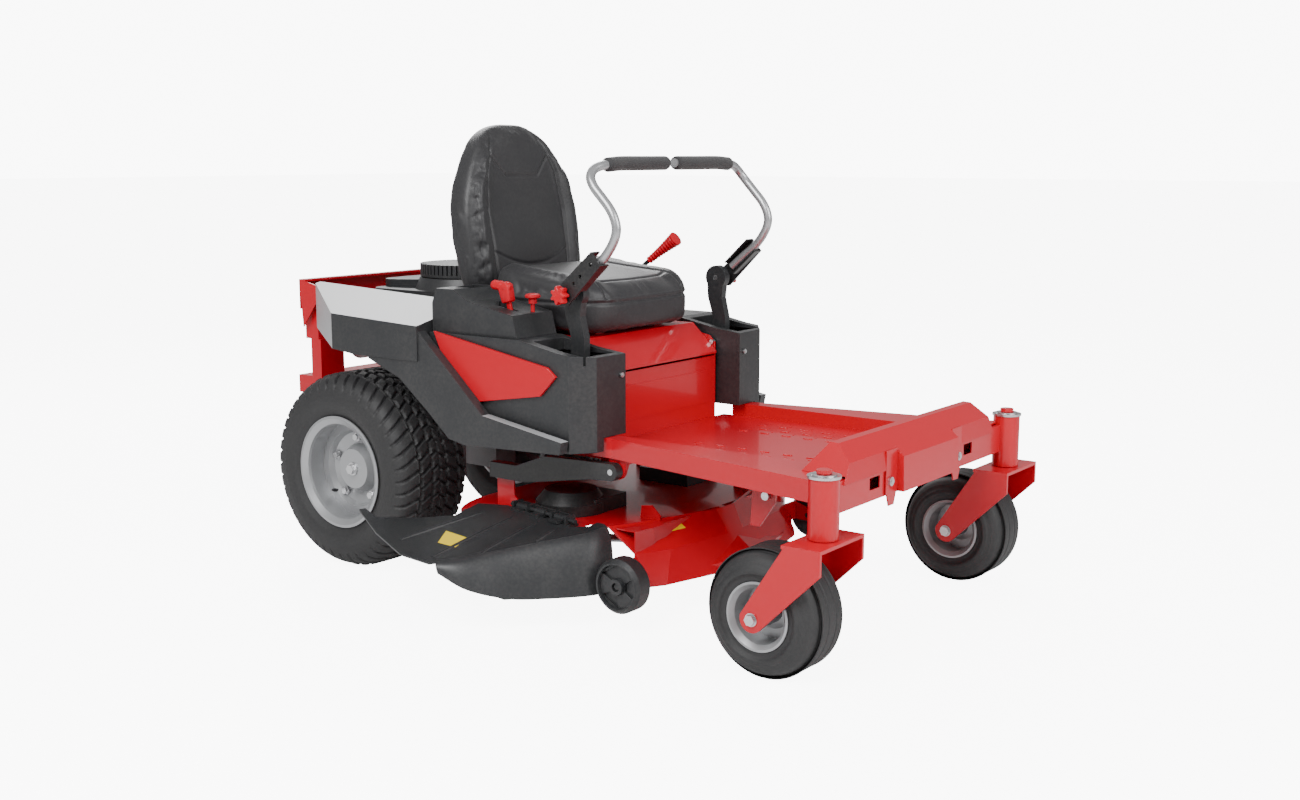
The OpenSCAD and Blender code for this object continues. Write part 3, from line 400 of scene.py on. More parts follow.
# %% Material maker
def material(name, colour, rough=0.4, metal=0.0, coat=0.0, grain=900.0, height=0.0002,
             strength=0.4, dust=0.15, dusty=(0.3, 0.28, 0.25), spread=0.08, spec=0.5,
             streak=0.0, sheen=0.0):
    """Principled material with grain and dust; all effects follow Object coordinates."""
    m = bpy.data.materials.new(name)
    m.use_nodes = True
    t = m.node_tree
    t.nodes.clear()
    at = node(t, "ShaderNodeTexCoord").outputs["Object"]
    g = node(t, "ShaderNodeGroup", _node_tree=GRAIN, Vector=at, Scale=grain, Height=height,
             Strength=strength)
    d = node(t, "ShaderNodeGroup", _node_tree=DUST, Vector=at, Amount=dust)
    mix = node(t, "ShaderNodeMix", _data_type="RGBA", i0=d.outputs["Mask"])
    mix.inputs[6].default_value = (*colour, 1)
    mix.inputs[7].default_value = (*dusty, 1)
    r = node(t, "ShaderNodeMapRange", Value=g.outputs["Value"], i1=0.3, i2=0.7,
             i3=max(rough - spread, 0.02), i4=min(rough + spread, 1.0))
    rough_out = r.outputs[0]
    if streak:
        s = node(t, "ShaderNodeGroup", _node_tree=STREAK, Vector=at, Scale=streak)
        rough_out = node(t, "ShaderNodeMapRange", Value=s.outputs["Value"], i1=0.3, i2=0.7,
                         i3=max(rough - spread, 0.02), i4=min(rough + spread, 1)).outputs[0]
    lift = node(t, "ShaderNodeMath", _operation="MULTIPLY_ADD", i0=d.outputs["Mask"],
                i1=0.35, i2=rough_out)
    p = node(t, "ShaderNodeBsdfPrincipled", Metallic=metal, Roughness=lift.outputs[0],
             Normal=g.outputs["Normal"])
    t.links.new(mix.outputs[2], p.inputs["Base Color"])
    p.inputs["Coat Weight"].default_value = coat
    p.inputs["Coat Roughness"].default_value = 0.04
    p.inputs["Specular IOR Level"].default_value = spec
    p.inputs["Sheen Weight"].default_value = sheen
    out = node(t, "ShaderNodeOutputMaterial")
    t.links.new(p.outputs["BSDF"], out.inputs["Surface"])
    return m


RED = material("red_paint", (0.50, 0.0, 0.010), rough=0.34, coat=0.35, grain=420,
               height=0.0004, strength=0.05, dust=0.0, spread=0.04, spec=0.3)
BLACK_PAINT = material("black_paint", (0.012, 0.012, 0.013), rough=0.36, grain=700,
                       strength=0.18, dust=0.05)
ZINC = material("zinc", (0.62, 0.62, 0.63), rough=0.3, metal=1.0, grain=500, strength=0.1,
                dust=0.05, streak=90)
RIM = material("rim_grey", (0.36, 0.365, 0.375), rough=0.36, metal=0.55, grain=900,
               strength=0.12, dust=0.05)
PLASTIC = material("black_plastic", (0.016, 0.017, 0.019), rough=0.42, grain=1700,
                   height=0.0003, strength=0.32, dust=0.05)
GREY_PLASTIC = material("grey_plastic", (0.33, 0.335, 0.345), rough=0.36, grain=1500,
                        strength=0.2, dust=0.03)
RED_PLASTIC = material("red_plastic", (0.50, 0.0, 0.010), rough=0.38, grain=800,
                       strength=0.12, dust=0.0, coat=0.1, spec=0.3)
TYRE = material("tyre", (0.017, 0.017, 0.018), rough=0.62, grain=800, height=0.0005,
                strength=0.35, dust=0.10, dusty=(0.10, 0.095, 0.09))
FOAM = material("foam", (0.016, 0.016, 0.018), rough=0.8, grain=1300, height=0.0006,
                strength=0.6, dust=0.05, sheen=0.2)
VINYL = material("vinyl", (0.017, 0.017, 0.019), rough=0.46, grain=1100, height=0.0004,
                 strength=0.35, dust=0.03, sheen=0.05)
CAST = material("cast_metal", (0.22, 0.22, 0.23), rough=0.55, metal=0.8, grain=600,
                height=0.0006, strength=0.5, dust=0.15)
STEEL = material("steel", (0.38, 0.38, 0.39), rough=0.34, metal=1.0, grain=500, strength=0.15,
                 dust=0.1, streak=70)
TUBE = material("tube_grey", (0.42, 0.425, 0.435), rough=0.3, metal=0.7, grain=900,
                strength=0.1, dust=0.02)
BY_SLOT = {"red_paint": RED, "black_paint": BLACK_PAINT, "zinc": ZINC, "rim_grey": RIM,
           "black_plastic": PLASTIC, "red_plastic": RED_PLASTIC, "tyre": TYRE,
           "foam": FOAM, "vinyl": VINYL, "cast_metal": CAST, "steel": STEEL,
           "tube_grey": TUBE}

# %% Dress every CAD node by its slot
SLOT_OF = {s["node"]: s["material_slot"] for s in frame["record"]["subparts"]}
for name, obj in nodes.items():
    obj.data.materials.clear()
    obj.data.materials.append(BY_SLOT[SLOT_OF[name]])
print("dressed", len(nodes), "nodes in", len(BY_SLOT), "materials")

# %% [markdown]
# ## Softened metal and plastic
# Folded sheet and moulded covers have no razor edges. For each of these nodes the flat faces
# are merged, every edge is given a small radius, and the result stands in for the node.


# %% Rounded edges
def soften(name, width, segments=2, angle=24.0, second=None, where=None):
    """Piece with the node's own surface, its edges rounded by width millimetres.

    Faces for which where(normal, centre in millimetres) is true take the second material.
    """
    bm = bmesh.new()
    bm.from_mesh(nodes[name].data)
    bmesh.ops.remove_doubles(bm, verts=bm.verts, dist=2e-6)
    bmesh.ops.dissolve_limit(bm, angle_limit=math.radians(0.5), verts=bm.verts,
                             edges=bm.edges, use_dissolve_boundaries=False)
    mesh = bpy.data.meshes.new(name + "_soft")
    bm.to_mesh(mesh)
    bm.free()
    mesh.materials.clear()
    mesh.materials.append(BY_SLOT[SLOT_OF[name]])
    if second:
        mesh.materials.append(second)
    for face in mesh.polygons:
        at = (np.array(face.center) - SHIFT) * 1000.0
        face.material_index = int(bool(second) and bool(where(face.normal, at)))
    mesh.shade_smooth()
    mesh.set_sharp_from_angle(angle=math.radians(9))
    obj = bpy.data.objects.new(name + "_soft", mesh)
    bpy.context.scene.collection.objects.link(obj)
    bevel = obj.modifiers.new("edge", "BEVEL")
    bevel.width, bevel.segments = width / 1000.0, segments
    bevel.limit_method, bevel.angle_limit = "ANGLE", math.radians(angle)
    bevel.use_clamp_overlap = True
    bevel.harden_normals = True
    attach(obj, body_of(nodes[name])[0])
    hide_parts(name)
    return obj


SOFT_EDGES = {"frame_rails": 2.0, "floor_pan": 0.8, "foot_plate": 1.2, "seat_tower": 1.4,
              "rear_frame": 1.6, "engine_guard": 1.6, "side_cover_right": 3.0,
              "side_cover_left": 3.0, "fender_right": 5.0, "fender_left": 5.0,
              "side_inserts": 1.6, "console_right": 4.0, "engine_block": 1.2,
              "blower_housing": 4.0, "muffler": 1.0, "transaxles": 3.0,
              "caster_fork_right": 1.6, "caster_fork_left": 1.6, "control_arm_right": 2.4,
              "control_arm_left": 2.4, "bar_bracket_right": 1.0, "bar_bracket_left": 1.0,
              "deck_shell": 1.6, "belt_covers": 2.5, "chute_bracket": 1.2,
              "lift_arms": 2.5, "seat_base": 1.0, "fuel_cap": 2.0}


def pale_face(n, at):
    """Top plane, rear corner plane and wheel arch lip of a fender."""
    return n.z > 0.8 or (n.x < -0.35 and abs(n.y) > 0.3 and n.z > -0.3)


for name, width in SOFT_EDGES.items():
    if name.startswith("fender"):
        soften(name, width, second=GREY_PLASTIC, where=pale_face)
    else:
        soften(name, width)
print("softened", len(SOFT_EDGES), "nodes")

# %% [markdown]
# ## Tyres
# A tyre is one turned surface whose radius is lowered in the grooves. The rear ones carry
# rows of slanted turf blocks, the front ones carry plain ribs.


# %% Tyre profile
def fine_profile(points, count):
    """(radius, y) points rounded into an even run of count points."""
    p = np.array([[a, 0.0, b] for a, b in points])
    q = smooth_path(p, count)
    return q[:, [0, 2]]


def outer_profile(r, w, bead, rim_w, count):
    """Outside of a tyre from bead to bead, right to left."""
    half = [(bead, rim_w / 2), (bead + 11, rim_w / 2 + 10), (bead + 21, rim_w / 2 + 11.5),
            (bead + (r - bead) * 0.40, w / 2), (r - 34, w / 2 - 5), (r - 14, w / 2 - 20),
            (r - 3, w / 2 - 48), (r, w / 4)]
    pts = [(a, -b) for a, b in half] + [(a, b) for a, b in half[::-1]]
    return fine_profile(pts, count)


def tyre_shape(profile, turns, lower, inner):
    """Tyre: profile turned about Y, radius lowered by lower(angle, radius, y), closed inside."""
    p = np.concatenate([profile, np.asarray(inner, float)])
    m, n = len(p), turns
    t = np.linspace(0, 2 * math.pi, n, endpoint=False)[:, None]
    r = np.broadcast_to(p[:, 0][None], (n, m)).copy()
    y = np.broadcast_to(p[:, 1][None], (n, m)).copy()
    k = len(profile)
    tan = np.gradient(profile, axis=0)
    tan /= np.linalg.norm(tan, axis=1)[:, None]
    out = np.stack([tan[:, 1], -tan[:, 0]], 1)
    drop = lower(t, r[:, :k], y[:, :k])
    r[:, :k] -= drop * out[None, :, 0]
    y[:, :k] -= drop * out[None, :, 1]
    v = np.stack([r * np.cos(t), y, r * np.sin(t)], 2)
    i, j = np.meshgrid(np.arange(n), np.arange(m), indexing="ij")
    i2, j2 = (i + 1) % n, (j + 1) % m
    q = np.stack([i * m + j, i * m + j2, i2 * m + j2, i2 * m + j], 2)
    return v.reshape(-1, 3), q.reshape(-1, 4).tolist()


def step(x, edge):
    """Smooth 0 to 1 over edge either side of 0."""
    u = np.clip(x / edge * 0.5 + 0.5, 0, 1)
    return u * u * (3 - 2 * u)


def turf_grooves(t, r, y):
    """Depth of the turf grooves: slanted cuts in staggered rows, with zigzag lines between."""
    count, depth = 44, 6.5
    a = np.abs(y)
    row = (a > 26).astype(float) + (a > 66)
    side = np.where(y > 0, 1.0, -1.0)
    pitch = 2 * math.pi * 254 / count
    phase = t * count / (2 * math.pi) + 0.5 * row + 0.25 * (side > 0) + 0.62 * a / pitch
    f = np.abs(phase - np.floor(phase) - 0.5) * pitch
    cut = step(f - pitch * 0.5 + 4.2, 1.4)
    zig = (np.abs(2 * (phase - np.floor(phase)) - 1) - 0.5) * 7.0
    lines = np.zeros_like(a + phase)
    for place, wide in ((0.0, 2.6), (26.0, 3.2), (66.0, 3.4)):
        lines = np.maximum(lines, 1 - step(np.abs(a - place - zig) - wide, 1.5))
    groove = np.maximum(cut, lines)
    fade = step(r - 232, 5.0)
    tips = step(r - 216, 2.0) * (1 - step(r - 236, 4.0)) * cut
    rings = 1.2 * np.exp(-((r - 168) / 1.8) ** 2) + 1.0 * np.exp(-((r - 196) / 1.6) ** 2)
    return depth * groove * fade + 3.5 * tips * (1 - fade) - rings * (1 - fade)


def rib_grooves(t, r, y):
    """Depth of the ribs of a caster tyre and the fine rings of its side wall."""
    d = np.zeros_like(r + 0 * t)
    for place in (-38.0, -15.0, 15.0, 38.0):
        d = d + 1.6 * np.exp(-((y - place) / 1.9) ** 4)
    d = d * step(r - 120, 4)
    side = 1 - step(r - 120, 3)
    return d - side * (0.9 * np.exp(-((r - 84) / 1.4) ** 2)
                       + 0.9 * np.exp(-((r - 100) / 1.4) ** 2)
                       + 0.7 * np.exp(-((r - 112) / 1.2) ** 2))


rear_profile = outer_profile(254, 246, 126.5, 196, 132)
rear_inner = [(135, 90), (141, 100), (214, 104), (236, 72), (236, -72), (214, -104),
              (141, -100), (135, -90)]
turf = tyre_shape(rear_profile, 680, turf_grooves, rear_inner)
front_profile = outer_profile(137, 150, 63, 112, 150)
front_inner = [(72, 50), (77, 57), (97, 58), (119, 26), (119, -26), (97, -58),
               (77, -57), (72, -50)]
ribbed = tyre_shape(front_profile, 150, rib_grooves, front_inner)
for side, sign in (("right", -1), ("left", 1)):
    put("turf_tyre_" + side, [(moved(turf, (0, sign * 326, 254)), 0)], [TYRE],
        "rear_wheel_" + side, ["rear_tyre_" + side], sharp=40)
    put("ribbed_tyre_" + side, [(moved(ribbed, (1326, sign * 447, 137)), 0)], [TYRE],
        "caster_wheel_" + side, ["caster_tyre_" + side], sharp=50)

# %% [markdown]
# ## Lap bars
# The bar is one bent tube; the grip is a foam sleeve with rounded ends. The path follows the
# bracket, bows forward, comes back over the knees and turns in to the middle.

# %% Bars, grips and knobs
BAR = [(708, -320, 770), (744, -320, 800), (781, -320, 830), (806, -320, 862),
       (817, -320, 891), (813, -320, 916), (799, -320, 941), (776, -320, 966),
       (753, -320, 990), (738, -313, 1011), (733, -296, 1028), (736, -270, 1037),
       (737, -235, 1040), (737, -196, 1042), (737, -110, 1042), (736, -14, 1042)]
bar_path = smooth_path(BAR, 120)
grip_line = bar_path[bar_path[:, 1] > -259]
far = np.linspace(0, 1, len(grip_line))
grip_r = 17.0 - 5.5 * np.exp(-(far / 0.012) ** 2) - 5.5 * np.exp(-((1 - far) / 0.02) ** 2)
bar = tube(bar_path, 11.0, 24)
grip = tube(grip_line[:-1], grip_r[:-1], 32)


def star_knob(y):
    """Seven-lobed knob about Y with its outer face at y, and its stud."""
    t = np.linspace(0, 2 * math.pi, 98, endpoint=False)
    r = 19.0 + 3.6 * np.cos(7 * t)
    rings = []
    for scale, depth in ((0.30, 1.5), (0.78, 0.0), (0.93, 1.2), (1.0, 4.0), (1.0, 17.0),
                         (0.93, 20.5), (0.55, 21.5), (0.42, 25.0)):
        rings.append(np.stack([r * scale * np.cos(t), np.full_like(t, y + depth),
                               r * scale * np.sin(t)], 1))
    faces = ring_faces(len(rings), len(t))
    faces.append(list(range(len(t)))[::-1])
    faces.append([(len(rings) - 1) * len(t) + i for i in range(len(t))])
    return np.concatenate(rings), faces


knob = moved(star_knob(-365), (678, 0, 742))
stud = tube([(678, -344, 742), (678, -285, 742)], 7.0, 20)
for side in ("right", "left"):
    flip = mirrored if side == "left" else (lambda s: s)
    put("bar_tube_" + side, [(flip(bar), 0)], [TUBE], "lapbar_" + side,
        ["lap_bar_" + side])
    put("foam_grip_" + side, [(flip(grip), 0)], [FOAM], "lapbar_" + side,
        ["bar_grip_" + side], sharp=60)
    put("star_knob_" + side, [(flip(knob), 0), (flip(stud), 1)], [RED_PLASTIC, ZINC],
        "knob_" + side, ["bar_knob_" + side])

# %% [markdown]
# ## Seat
# Both pads start as closed lofted forms, a little smaller than they end. Each is remeshed,
# blown up gently as cloth with a cap on how far a point may move, and then the sewn channels
# are pressed in along lines drawn on its face.


# %% Pad forms and the cloth pass
def pad_shape(outline, profile, height, rings=30):
    """Closed pad over a flat outline (x, y).

    profile lists (inset, share of height) from the middle of the base round to the top edge;
    height(x, y) gives (base, top). The top is closed by rings that shrink to the middle.
    """
    pr = fine_profile([(a * 1.0, b * 100.0) for a, b in profile], 34)
    c = outline.mean(0)
    layers = []
    for d, h in pr:
        layers.append((inset(outline, d), h / 100.0))
    first, last = layers[0], layers[-1]
    shrink = np.linspace(1, 0.03, rings)[1:]
    layers = [(c + (first[0] - c) * k, first[1]) for k in shrink[::-2]] + layers
    layers += [(c + (last[0] - c) * k, last[1]) for k in shrink]
    out = []
    for q, h in layers:
        base, top = height(q[:, 0], q[:, 1])
        out.append(np.stack([q[:, 0], q[:, 1], base + h * (top - base)], 1))
    n = len(outline)
    faces = ring_faces(len(out), n)
    faces.append(list(range(n))[::-1])
    faces.append([(len(out) - 1) * n + i for i in range(n)])
    return np.concatenate(out), faces


def coords(mesh, what="co"):
    """Vertex positions or normals of a mesh as an array."""
    a = np.empty(len(mesh.vertices) * 3, np.float32)
    if what == "co":
        mesh.vertices.foreach_get("co", a)
    else:
        mesh.vertex_normals.foreach_get("vector", a)
    return a.reshape(-1, 3).astype(float)


def apply_modifier(obj, name):
    bpy.context.view_layer.objects.active = obj
    with bpy.context.temp_override(object=obj, active_object=obj):
        bpy.ops.object.modifier_apply(modifier=name)


def blow_up(obj, pressure=4.0, cap=0.010, voxel=0.006):
    """Cloth pass: remesh, inflate for 20 frames, keep each point within cap of its start."""
    remesh = obj.modifiers.new("remesh", "REMESH")
    remesh.mode, remesh.voxel_size = "VOXEL", voxel
    apply_modifier(obj, "remesh")
    start = coords(obj.data)
    cloth = obj.modifiers.new("cloth", "CLOTH")
    s = cloth.settings
    s.quality, s.mass = 4, 0.3
    s.tension_stiffness = s.compression_stiffness = 12.0
    s.bending_stiffness = 0.6
    s.use_pressure, s.uniform_pressure_force = True, pressure
    s.effector_weights.gravity = 0.0
    cloth.point_cache.frame_start, cloth.point_cache.frame_end = 1, 20
    scene = bpy.context.scene
    for f in range(1, 21):
        scene.frame_set(f)
    ev = obj.evaluated_get(bpy.context.evaluated_depsgraph_get())
    end = coords(ev.to_mesh())
    ev.to_mesh_clear()
    obj.modifiers.remove(cloth)
    scene.frame_set(1)
    move = end - start
    far = np.linalg.norm(move, axis=1)[:, None]
    start = start + move * np.minimum(1.0, cap / np.maximum(far, 1e-9))
    obj.data.vertices.foreach_set("co", start.ravel())
    sub = obj.modifiers.new("fine", "SUBSURF")
    sub.levels = sub.render_levels = 1
    apply_modifier(obj, "fine")
    obj.data.shade_smooth()


def press_seams(obj, depth_of):
    """Sinks the skin along its normal by depth_of(points in vehicle millimetres)."""
    v, n = coords(obj.data), coords(obj.data, "normal")
    p = (v - SHIFT) * 1000.0
    v = v - n * (depth_of(p) / 1000.0)[:, None]
    obj.data.vertices.foreach_set("co", v.ravel())
    obj.data.update()


def groove(d, wide, deep):
    """Rounded channel of half width wide and depth deep at distance d from a line."""
    return deep * np.exp(-(d / wide) ** 2)


def close_curve(points, count):
    """Closed smooth outline through the points."""
    p = np.asarray(points, float)
    p3 = np.column_stack([np.concatenate([p, p, p]), np.zeros(3 * len(p))])
    q = smooth_path(p3, 3 * count)
    return q[count:2 * count, :2]


# %% Cushion
cushion_outline = close_curve([(684, 0), (682, 95), (668, 168), (628, 214), (560, 230),
                               (470, 232), (380, 226), (334, 196), (318, 130), (316, 0),
                               (318, -130), (334, -196), (380, -226), (470, -232),
                               (560, -230), (628, -214), (668, -168), (682, -95)], 200)


def cushion_height(x, y):
    t = np.clip((684 - x) / 310, 0, 1.2)
    roll = np.clip((x - 600) / 84, 0, 1)
    bolster = 10 * step(np.abs(y) - 150, 34)
    top = 742 + 34 * t + bolster - 16 * roll**2
    return np.full_like(x, 640.0), top


cushion_profile = [(30, 0.0), (10, 0.0), (2, 0.08), (-1, 0.3), (-1, 0.5), (0, 0.7),
                   (6, 0.88), (18, 0.97), (34, 1.0)]
cushion = put("cushion", [(pad_shape(cushion_outline, cushion_profile, cushion_height), 0)],
              [VINYL], "seat", ["seat_cushion"])
blow_up(cushion, cap=0.008)


def cushion_seams(p):
    x, y, z = p.T
    up = step(z - 716, 6)
    side = groove(np.abs(y) - 150 - 10 * np.sin(x / 90), 4.5, 5.0) * step(x - 330, 8)
    front = groove(x - 622 + 0.0006 * y * y, 4.5, 4.0) * step(160 - np.abs(y), 8)
    welt = groove(z - 708, 4.0, 4.0) - groove(z - 716, 3.0, 1.5)
    return up * np.maximum(side, front) + welt * step(np.abs(y) * 1.2 + x - 500, 60)


press_seams(cushion, cushion_seams)

# %% Backrest
LEAN = math.radians(7.5)
BACK_AT = np.array([262.0, 0.0, 655.0])
back_outline = close_curve([(6, 0), (10, 110), (28, 172), (80, 212), (170, 229), (255, 230),
                            (330, 212), (400, 176), (458, 130), (492, 72), (500, 0),
                            (492, -72), (458, -130), (400, -176), (330, -212), (255, -230),
                            (170, -229), (80, -212), (28, -172), (10, -110)], 220)


def back_height(z, y):
    a = np.abs(y)
    edge = np.interp(z, [0, 120, 260, 360, 500], [150, 160, 158, 138, 96])
    bolster = 16 * step(a - edge, 26) * (1 - 0.5 * np.clip((z - 330) / 150, 0, 1))
    lumbar = 14 * np.exp(-((z - 150) / 90) ** 2) * (1 - np.clip(a / 190, 0, 1) ** 2)
    return np.full_like(z, -36.0), 28 + bolster + lumbar - 8 * np.clip((z - 400) / 100, 0, 1)


back_profile = [(40, 0.0), (14, 0.02), (3, 0.14), (0, 0.35), (0, 0.6), (3, 0.82),
                (12, 0.95), (28, 1.0)]
v, f = pad_shape(back_outline, back_profile, back_height)
v = np.stack([v[:, 2], v[:, 1], v[:, 0]], 1)
back_shape = moved((v, [q[::-1] for q in f]), BACK_AT, turn_about("y", -7.5))
back = put("backrest", [(back_shape, 0)], [VINYL], "seat", ["seat_back"])
blow_up(back, cap=0.010)


def back_seams(p):
    q = (p - BACK_AT) @ turn_about("y", -7.5)
    x, y, z = q.T
    a = np.abs(y)
    front = step(x - 6, 6)
    edge = np.interp(z, [0, 120, 260, 360, 430, 500], [128, 142, 146, 132, 104, 60])
    side = groove(a - edge, 4.2, 5.0) * step(z - 40, 10) * step(452 - z, 10)
    outer = groove(a - edge - 46, 3.4, 2.6) * step(z - 90, 10) * step(330 - z, 20)
    head = groove(z - np.where(a < 62, 352.0, 352 + (a - 62) * 1.1), 4.0, 4.5) * step(edge - a, 6)
    cross = groove(z - 118 - 0.002 * y * y, 4.0, 3.0) * step(edge - a, 6)
    return front * np.maximum.reduce([side, outer, head, cross])


press_seams(back, back_seams)

# %% [markdown]
# ## Controls
# A pistol-shaped throttle, a mushroom knob for the blades and a flared, ribbed brake handle.


# %% Throttle, knob and brake handle
def along(a, b, radii, sides=28):
    """Round bar from a to b with radii spread evenly along it."""
    t = np.linspace(0, 1, len(radii))[:, None]
    return tube(np.asarray(a) * (1 - t) + np.asarray(b) * t, np.asarray(radii, float), sides)


LEVER_TURN = turn_about("y", -14)
PIVOT = np.array([520.0, -336.0, 652.0])
lever_parts = [slab(round_corners([(-6, -8), (6, -8), (6, 84), (-6, 84)], 3), -4, 3, 1.0),
               slab(round_corners([(-13, 64), (12, 64), (15, 108), (-18, 110)], 6), -12, 12,
                    3.5)]
lever_parts = [moved(s, PIVOT, LEVER_TURN) for s in lever_parts]
nose = along((520 - 8, -336, 652 + 97), (520 - 66, -336, 652 + 103),
             [6, 12.5, 13.5, 13.5, 11, 12.5, 12.5, 11, 12.2, 12.2, 9])
put("throttle_handle", [(s, 0) for s in lever_parts] + [(nose, 0)], [RED_PLASTIC],
    "throttle", ["throttle_lever"])

knob_profile = np.array([(0.2, 736), (10, 735.6), (16, 734), (19, 730), (18.4, 726.5), (14, 724),
                         (10, 722), (10, 712), (5, 711), (5, 673), (0.2, 673)], float)
vk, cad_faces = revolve(knob_profile, 48, closed=False)
vk = vk[:, [0, 2, 1]]
put("pull_knob", [(moved((vk, [q[::-1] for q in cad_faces]), (548, -300, 0)), 0)],
    [RED_PLASTIC], "pto", ["pto_knob"])

a, b = np.array([462.0, 282, 778]), np.array([552.0, 282, 841])
u = np.linspace(0, 1, 70)
flare = 9.5 + 10.5 * u**1.6 + 1.0 * np.sin(u * 2 * math.pi * 11) * (u < 0.93)
flare[-1], flare[0] = 12.0, 6.0
handle = tube(a + (b - a) * u[:, None], flare, 40)
rod_path = smooth_path([(420, 282, 600), (421, 282, 660), (424, 282, 720), (438, 282, 757),
                        (466, 282, 781)], 40)
hub = moved(slab(round_corners([(-13, -13), (13, -13), (13, 13), (-13, 13)], 12.5, 8), -8, 8,
                 1.5), (420, 282, 600))
put("brake_handle", [(handle, 0), (tube(rod_path, 6.0, 20), 1), (hub, 1)],
    [RED_PLASTIC, BLACK_PAINT], "brake", ["brake_lever"])

# %% [markdown]
# ## Deck trim, floor marks and small parts
# Ridges on the chute, raised dashes on the floor pan, plain warning patches without any
# lettering, and tyre valves.

# %% Chute ridges and patches
YELLOW = material("warning_yellow", (0.85, 0.62, 0.01), rough=0.35, grain=900, strength=0.03,
                  dust=0.02)


def chute_z(x, y):
    """Height of the top of the sloping chute plate."""
    return 216.0 + (y + 360.0) * math.tan(math.radians(9.6)) + 0.2


def on_chute(x, y, lift=0.0):
    return (x, y, chute_z(x, y) + lift)


ridges = []
for a, b in (((470, -400), (400, -610)), ((560, -400), (548, -655)),
             ((640, -400), (640, -590)), ((712, -410), (716, -492))):
    line = np.array([on_chute(*(np.array(a) * (1 - k) + np.array(b) * k), -1.6)
                     for k in np.linspace(0, 1, 24)])
    size = 6.0 * np.sin(np.linspace(0.25, math.pi - 0.25, 24)) ** 0.5
    ridges.append((tube(line, size, 16), 0))


def patch(corners, thick=0.6):
    """Thin four-cornered label lying on given 3-D corners, lifted by its own thickness."""
    p = np.asarray(corners, float)
    n = np.cross(p[1] - p[0], p[-1] - p[0])
    n /= np.linalg.norm(n)
    n = n if n[2] > 0 else -n
    k = len(p)
    v = np.concatenate([p - n * 0.5, p + n * thick])
    f = ring_faces(2, k) + [list(range(k))[::-1], [k + i for i in range(k)]]
    return v, f


label = [on_chute(468, -528), on_chute(548, -540), on_chute(560, -592), on_chute(500, -588)]
put("chute_trim", ridges + [(patch(label), 1)], [PLASTIC, YELLOW], "chute")

# %% [markdown]
# The outer edge of the chute turns down into a skirt. The skirt is one smooth skin: a row of
# cross sections along the edge, each with a flat start on the plate, a rounded fold and a
# slightly bulged side down to the lower edge.

# %% Chute skirt
fold = smooth_path([(812, -352, 0), (800, -402, 0), (735, -480, 0), (672, -560, 0),
                    (612, -640, 0), (572, -668, 0)], 72)[:, :2]
lower = smooth_path([(848, -378, 78), (838, -440, 78), (773, -520, 78), (710, -584, 82),
                     (650, -652, 108), (588, -680, 142)], 72)
along_fold = np.gradient(fold, axis=0)
along_fold /= np.linalg.norm(along_fold, axis=1)[:, None]
out = np.c_[-along_fold[:, 1], along_fold[:, 0], np.zeros(len(fold))]
top = np.c_[fold, chute_z(fold[:, 0], fold[:, 1])]


def bend(a, b, c, count):
    """Points of the curve from a to c that leans towards b."""
    t = np.linspace(0, 1, count)[:, None, None]
    return (1 - t) ** 2 * a + 2 * t * (1 - t) * b + t**2 * c


corner = top + out * 8 + np.array([0, 0, 2.5])
start = top - out * 34 + np.array([0, 0, 0.4])
side = (corner + lower) / 2 + out * 9
over = corner + (start - corner) * 0.55
under = corner + (side - corner) * 0.55
skin = np.concatenate([start[None], bend(over, corner, under, 10),
                       bend(under, side, lower + out * 3, 9)[1:]])
inner = skin.copy()
inner[..., 2] -= 2.4
inner -= out * 2.4
loop = np.concatenate([skin, inner[::-1]])
rings = list(np.transpose(loop, (1, 0, 2)))
count = len(rings[0])
faces = ring_faces(len(rings), count) + [list(range(count))[::-1],
                                    [(len(rings) - 1) * count + i for i in range(count)]]
put("chute_skirt", [((np.concatenate(rings), faces), 0)], [PLASTIC], "chute",
    sharp=50)

# %% [markdown]
# The front of the deck is one folded sheet: a sloping upper face, a crease, and a face that
# leans forward down to the lip. It lies in front of the deck shell.

# %% Deck front sheet
right_half = {209: [(800, -330), (826, -275), (903, -40), (905, 0)],
              152: [(874, -322), (912, -238), (934, -33), (935, 0)],
              80: [(902, -336), (934, -284), (974, -130), (984, 0)]}
levels = []
for z, points in right_half.items():
    full = points + [(x, -y) for x, y in points[-2::-1]]
    levels.append(np.array([(x, y, z) for x, y in full], float))
sheet_rings = []
for k in range(len(levels[0])):
    front = np.array([row[k] for row in levels])
    back = front - np.array([5.0, 0, 2.0])
    sheet_rings.append(np.concatenate([front, back[::-1]]))
n = len(sheet_rings[0])
faces = ring_faces(len(sheet_rings), n)
faces += [list(range(n))[::-1], [(len(sheet_rings) - 1) * n + i for i in range(n)]]


def on_front(s, t):
    """Point of the upper face, s along it from the right end, t down from its top."""
    a = levels[0][1] * (1 - s) + levels[0][2] * s
    b = levels[1][1] * (1 - s) + levels[1][2] * s
    return a * (1 - t) + b * t + np.array([0.8, 0, 0.8])


strip = patch([on_front(0.26, 0.2), on_front(0.48, 0.2), on_front(0.48, 0.48),
               on_front(0.26, 0.48)], 0.8)
put("deck_front", [((np.concatenate(sheet_rings), faces), 0), (strip, 1)], [RED, YELLOW],
    "deck", sharp=12)

# %% Floor pan marks
dashes = []
for i in range(7):
    for j in (-1, 1):
        for k in range(3):
            x, y = 880 + i * 62 + (k % 2) * 31, j * (98 + k * 44)
            shape = slab(round_corners([(x, y - 4), (x + 24, y - 4), (x + 24, y + 4),
                                        (x, y + 4)], 3.9, 4), 380.0, 383.0, 1.2, "xy")
            dashes.append((shape, 0))
put("pan_dashes", dashes, [RED], "chassis")

